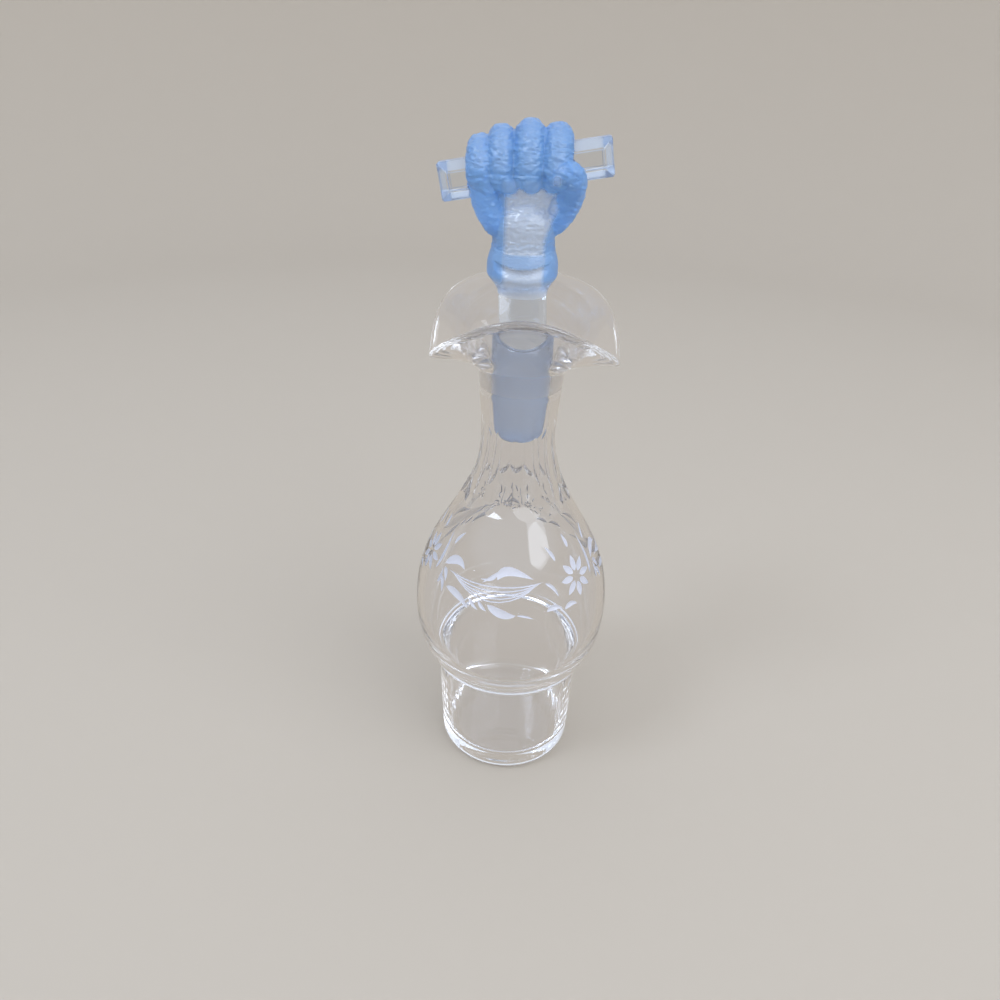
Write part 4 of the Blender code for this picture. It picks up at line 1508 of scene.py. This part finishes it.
    def palm(self) -> bmesh.types.BMesh:
        """Build the solid of the palm, back and heel of the hand."""
        ball = bmesh.new()
        bmesh.ops.create_uvsphere(ball, u_segments=self.palm_segments,
                                  v_segments=self.palm_rings, radius=1)
        for vertex in ball.verts:
            upright = self.palm_crown if vertex.co.z > 0 else self.palm_drop
            vertex.co = self.place(self.palm_half_width * vertex.co.x,
                                   self.palm_half_depth * -vertex.co.y - self.palm_backwards,
                                   self.palm_rise + upright * vertex.co.z)
        return ball

    def carve(self, place: Vector) -> float:
        """Give how deep the skin is pressed in at a place, by the crease and the nails' borders."""
        across, rise = self.seen(place)
        if place.y > -self.loop_depth:
            return 0.0
        reach = (smooth_share(across, self.crease_from - self.crease_fade, self.crease_from)
                 * (1 - smooth_share(across, self.crease_to, self.crease_to + self.crease_fade)))
        depth = self.crease_depth * bell(rise - self.crease_rise, self.crease_width) * reach
        for nail in self.nails:
            depth = max(depth, self.nail_groove * bell(nail.away(across, rise),
                                                       self.nail_groove_width))
        return depth

    def below_band(self, place: Vector) -> float:
        """Give how far a place lies below the curved lower edge of the cuff's smooth band."""
        across, rise = self.seen(place)
        return self.step_rise + self.step_lift * (across / self.step_half_width) ** 2 - rise

    def step(self, place: Vector) -> float:
        """Give how far the front steps back at a place below the cuff's smooth band."""
        if place.y > 0:
            return 0.0
        below = self.below_band(place)
        across, _ = self.seen(place)
        fall = smooth_share(below, 0.0, self.step_edge) * (
            1 - smooth_share(below, self.step_floor_share * self.step_height, self.step_height))
        sides = 1 - past(abs(across), self.step_half_width, self.step_side_softness)
        return self.step_depth * fall * sides

    def frost(self, place: Vector) -> float:
        """Give how frosted the skin is at a place, from 0, clear, to 1, satin."""
        across, rise = self.seen(place)
        right = (self.window_right
                 + self.window_spread * smooth_share(rise, 0.0, self.window_spread_rise))
        window = (past(across, self.window_left, self.window_side_softness)
                  * (1 - past(across, right, self.window_side_softness))
                  * (1 - past(rise, self.window_top, self.window_top_softness)))
        tip = (past(rise, self.tips_from, self.tips_softness)
               * past(-place.y, self.tips_depth, self.tips_softness))
        share = 1 - (1 - self.window_frost) * window * (1 - tip)
        if place.y < -self.loop_depth:
            for nail in self.nails:
                inside = smooth_share(-nail.away(across, rise), -self.nail_frost_outside,
                                      self.nail_frost_inside)
                share = min(share, 1 - (1 - nail.frost) * inside)
        if place.y < 0:
            pad = max(bell(across - sizes.top_x, self.pad_half_width) for sizes in self.fingers)
            pad *= smooth_share(rise, self.crease_rise, self.crease_rise + self.pad_fade)
            share = min(share, 1 - (1 - self.pad_frost) * pad)
        band = (1 - past(self.below_band(place), 0.0, self.band_softness)) * (
            1 - past(rise, self.ripple_low, self.ripple_softness))
        share = max(share, self.band_frost * band)
        low = smooth_share(-rise, self.stem.wrist_z - self.stem.cuff_z, -self.fade_low)
        return share + (self.low_frost - share) * low

    def ripple(self, place: Vector) -> float:
        """Give how much of the ripples' depth shows at a place."""
        across, rise = self.seen(place)
        share = past(rise, self.ripple_low, self.ripple_softness)
        share *= 1 + (self.window_ripple - 1) * (1 - self.frost(place))
        if place.y < -self.loop_depth:
            for nail in self.nails:
                share = min(share, past(nail.away(across, rise), 0.0, self.nail_ripple_softness))
        return share

    def mark(self, mesh: bpy.types.Mesh, name: str, rule: Callable[[Vector], float]) -> None:
        """Write a vertex attribute that follows a rule of the place.

        Args:
            mesh: The mesh that gets it.
            name: The attribute's name.
            rule: Gives its value at a place.
        """
        layer = mesh.attributes.new(name, "FLOAT", "POINT")
        layer.data.foreach_set("value", [rule(vertex.co) for vertex in mesh.vertices])

    def build(self, satin: bpy.types.Material) -> bpy.types.Object:
        """Build the hand's skin, whole, its wrist running down into the stem below the cuff's lower
        edge.

        Args:
            satin: The finish of the skin.

        Returns:
            The hand, to be joined to the stem.
        """
        lumps = [self.finger(sizes).build() for sizes in self.fingers]
        lumps += [self.thumb().build(), self.heel().build(), self.palm()]
        sunk_end = self.stem.cuff_z - self.sunk_in_stem
        lumps.append(self.stem.turned(self.stem.wrist_line(sunk_end)))
        joined = bmesh.new()
        for lump in lumps:
            mesh = finish_mesh(lump, "lump")
            joined.from_mesh(mesh)
            bpy.data.meshes.remove(mesh)
        mesh = bpy.data.meshes.new("fist")
        joined.to_mesh(mesh)
        joined.free()
        item = add_object("fist", mesh)
        remesh = item.modifiers.new("fuse", "REMESH")
        remesh.mode = "VOXEL"
        remesh.voxel_size = self.voxel
        smooth = item.modifiers.new("soften", "SMOOTH")
        smooth.factor = self.soften_factor
        smooth.iterations = self.soften_times
        mesh = settle(item)
        pressed = [vertex.co - vertex.normal * self.carve(vertex.co) for vertex in mesh.vertices]
        mesh.vertices.foreach_set("co", [value for place in pressed for value in place])
        mesh.update()
        self.mark(mesh, "ripple", self.ripple)
        skin = RippledSkin()
        add_tree(item, skin.build(), {"Spacing": skin.spacing, "Depth": skin.depth,
                                      "Seed": float(skin.seed), "Satin": satin})
        settle(item)
        return item


@dataclass
class Bar:
    """The square bar in the fist: a broad chamfer frames its front and its back."""

    stem: Stem
    length: float = 40.2 * MM
    side: float = 8.5 * MM
    chamfer: float = 2.1 * MM
    rise: float = 15.5 * MM
    shift: float = -0.3 * MM
    tilt: float = -10.0
    rounding: float = 0.3 * MM
    rounding_steps: int = 2
    flat_from: float = 0.95
    listed_along: tuple[float, float, float] = (1.0, 0.37, 0.073)

    def build(self, clear: bpy.types.Material, bloom: bpy.types.Material) -> bpy.types.Object:
        """Build the bar, tilted up towards the thumb's side.

        Args:
            clear: The finish of its flat front and back.
            bloom: The finish of its other faces.

        Returns:
            The bar, to be joined to the hand.
        """
        block = bmesh.new()
        bmesh.ops.create_cube(block, size=1)
        bmesh.ops.scale(block, vec=(self.length, self.side, self.side), verts=block.verts)
        frames = [edge for edge in block.edges if edge.verts[0].co.y * edge.verts[1].co.y > 0]
        bmesh.ops.bevel(block, geom=frames, offset=self.chamfer, segments=1, affect="EDGES")
        bmesh.ops.bevel(block, geom=block.edges[:], offset=self.rounding,
                        segments=self.rounding_steps, affect="EDGES")
        # A bevel lists its new faces in an order that changes from run to run
        along = Vector(self.listed_along)
        block.verts.sort(key=lambda vertex: vertex.co.dot(along))
        block.edges.sort(key=lambda edge: (edge.verts[0].co + edge.verts[1].co).dot(along))
        block.faces.sort(key=lambda face: face.calc_center_median().dot(along))
        block.normal_update()
        for face in block.faces:
            face.material_index = 0 if abs(face.normal.y) > self.flat_from else 1
        bmesh.ops.rotate(block, cent=(0, 0, 0), verts=block.verts,
                         matrix=Matrix.Rotation(math.radians(self.tilt), 3, "Y"))
        middle = (self.stem.hand_offset + self.shift, 0, self.stem.wrist_z + self.rise)
        bmesh.ops.translate(block, vec=middle, verts=block.verts)
        mesh = finish_mesh(block, "bar")
        mesh.materials.append(clear)
        mesh.materials.append(bloom)
        return add_object("bar", mesh)


@dataclass
class Stopper:
    """The pressed stopper: ground plug, clear stem, rippled fist and clear bar in one glass."""

    stem: Stem = field(default_factory=Stem)
    seam_rise: float = 0.1 * MM
    sharp_angle: float = 40.0

    def flatten_facets(self, mesh: bpy.types.Mesh, facets: list[int]) -> None:
        """Let the bar's broad faces shine as flat ones, and its rounded edges blend them.

        Args:
            mesh: The stopper's mesh.
            facets: The numbers of the bar's materials in it.
        """
        turned = {}
        bar_faces = [face for face in mesh.polygons if face.material_index in facets]
        for face in bar_faces:
            for vertex in face.vertices:
                turned[vertex] = turned.get(vertex, Vector()) + face.normal * face.area ** 2
        normals = [corner.vector.copy() for corner in mesh.corner_normals]
        for face in bar_faces:
            for corner, vertex in zip(face.loop_indices, face.vertices):
                normals[corner] = turned[vertex].normalized()
        mesh.normals_split_custom_set(normals)

    def build(self) -> bpy.types.Object:
        """Build and dress the stopper as one closed skin of glass."""
        finishes = [GROUND_PLUG.make(), PRESSED_GLASS.make(), SATIN_GLASS.make(),
                    PRESSED_FACETS.make(), PRESSED_BLOOM.make()]
        ground, clear, satin, facets, bloom = range(5)
        fist = Fist(self.stem)
        hand = fist.build(finishes[satin])
        work = bmesh.new()
        work.from_mesh(hand.data)
        level = self.stem.cuff_z + self.seam_rise
        bmesh.ops.bisect_plane(work, geom=work.verts[:] + work.edges[:] + work.faces[:],
                               plane_co=(0, 0, level), plane_no=(0, 0, 1), clear_inner=True)
        for face in work.faces:
            face.material_index = satin
        stem = self.stem.turned(self.stem.plug_line())
        for face in stem.faces:
            height = face.calc_center_median().z
            face.material_index = (ground if height < self.stem.plug_top_z else
                                   clear if height < self.stem.wrist_z + fist.fade_low else satin)
        lower = finish_mesh(stem, "stem")
        work.from_mesh(lower)
        rims = [edge for edge in work.edges if edge.is_boundary]
        made = bmesh.ops.bridge_loops(work, edges=rims)
        for face in made["faces"]:
            face.material_index = satin
        bmesh.ops.triangulate(work, faces=made["faces"])
        for vertex in work.verts:
            vertex.co.y += fist.step(vertex.co)
        bmesh.ops.recalc_face_normals(work, faces=work.faces)
        mesh = bpy.data.meshes.new("stopper")
        work.to_mesh(mesh)
        work.free()
        item = add_object("pressed_stopper", mesh)
        for finish in finishes:
            mesh.materials.append(finish)
        bar = Bar(self.stem).build(finishes[facets], finishes[bloom])
        union = item.modifiers.new("bar", "BOOLEAN")
        union.operation = "UNION"
        union.solver = "EXACT"
        union.material_mode = "TRANSFER"
        union.object = bar
        mesh = settle(item)
        for helper in (hand, bar):
            bpy.data.objects.remove(helper)
        fist.mark(mesh, "frost", fist.frost)
        mesh.attributes.remove(mesh.attributes["ripple"])
        mesh.shade_smooth()
        mesh.set_sharp_from_angle(angle=math.radians(self.sharp_angle))
        self.flatten_facets(mesh, [mesh.materials.find(finishes[number].name)
                                   for number in (facets, bloom)])
        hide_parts("stopper")
        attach(item, "stopper")
        log_piece(item)
        return item


@dataclass(frozen=True)
class Lamp:
    """A square soft lamp: where it stands, its side, its power in watts and its colour."""

    name: str
    place: tuple[float, float, float]
    size: float
    power: float
    colour: str


@dataclass
class Studio:
    """The pale table and cove, the soft lamps, the pale room and the camera."""

    lamps: tuple[Lamp, ...] = (
        Lamp("window", place=(0.6, -0.5, 0.75), size=0.8, power=6.2, colour="eef5ff"),
        Lamp("skylight", place=(-0.55, -0.35, 0.9), size=0.3, power=3.8, colour="e2eeff"),
    )
    lamp_target: tuple[float, float, float] = (0.0, 0.0, 0.1)
    room_tone: str = "e6edf8"
    camera_place: tuple[float, float, float] = (0.0, -0.186, 0.201)
    camera_pitch: float = 30.7
    camera_yaw: float = -1.355
    camera_roll: float = 2.09
    focal_length: float = 26.68
    sensor_width: float = 36.0
    nearest: float = 10.0 * MM
    floor_drop: float = 0.1 * MM
    floor_radius: float = 0.7
    cove_radius: float = 0.35
    cove_steps: int = 16
    cove_columns: int = 96
    wall_top: float = 0.9
    light_turns: int = 32

    def build_cove(self) -> bpy.types.Object:
        """Build the floor, which curves up into a wall all round."""
        level = -self.floor_drop
        line = [(0.0, level), (self.floor_radius / 2, level), (self.floor_radius, level)]
        line += arc((self.floor_radius, self.cove_radius + level), self.cove_radius, -90, 0,
                    self.cove_steps)[1:]
        line.append((self.floor_radius + self.cove_radius, self.wall_top))
        angles = [360 * column / self.cove_columns for column in range(self.cove_columns)]
        mesh = finish_mesh(loft([ring(point, angles) for point in line]), "cove")
        mesh.shade_smooth()
        item = add_object("cove", mesh)
        mesh.materials.append(COVE_PAINT.make())
        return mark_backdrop(item)

    def build_light(self) -> None:
        """Light the object softly from a pale room, with two lamps for its highlights."""
        for lamp in self.lamps:
            data = bpy.data.lights.new(lamp.name, "AREA")
            data.size = lamp.size
            data.energy = lamp.power
            data.color = linear(lamp.colour)[:3]
            item = bpy.data.objects.new(lamp.name, data)
            item.location = lamp.place
            ahead = Vector(self.lamp_target) - Vector(lamp.place)
            item.rotation_euler = ahead.to_track_quat("-Z", "Y").to_euler()
            bpy.context.scene.collection.objects.link(item)
        world = bpy.data.worlds.new("room")
        world.use_nodes = True
        world.node_tree.nodes["Background"].inputs["Color"].default_value = linear(self.room_tone)
        bpy.context.scene.world = world

    def build_camera(self) -> None:
        """Place the camera where the photograph was taken from."""
        data = bpy.data.cameras.new("camera")
        data.sensor_width = self.sensor_width
        data.lens = self.focal_length
        data.clip_start = self.nearest
        item = bpy.data.objects.new("camera", data)
        yaw, pitch = math.radians(self.camera_yaw), math.radians(self.camera_pitch)
        ahead = Vector((math.sin(yaw) * math.cos(pitch), math.cos(yaw) * math.cos(pitch),
                        -math.sin(pitch)))
        turn = ahead.to_track_quat("-Z", "Y").to_matrix()
        turn = turn @ Matrix.Rotation(math.radians(self.camera_roll), 3, "Z")
        item.matrix_world = Matrix.Translation(self.camera_place) @ turn.to_4x4()
        bpy.context.scene.collection.objects.link(item)
        bpy.context.scene.camera = item

    def build(self) -> None:
        """Build the whole studio."""
        self.build_cove()
        self.build_light()
        self.build_camera()
        scene = bpy.context.scene
        scene.view_settings.view_transform = "Standard"
        # Light runs through many walls of clear glass before it finds its way out
        scene.cycles.max_bounces = self.light_turns
        scene.cycles.transmission_bounces = self.light_turns
        scene.cycles.glossy_bounces = self.light_turns
        scene.cycles.diffuse_bounces = self.light_turns // 2


def main() -> None:
    """Load the frame, build the studio and the two pieces."""
    logging.basicConfig(level=logging.INFO, format="%(name)s: %(message)s")
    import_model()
    Studio().build()
    Bottle().build()
    Stopper().build()


if __name__ == "__main__":
    main()
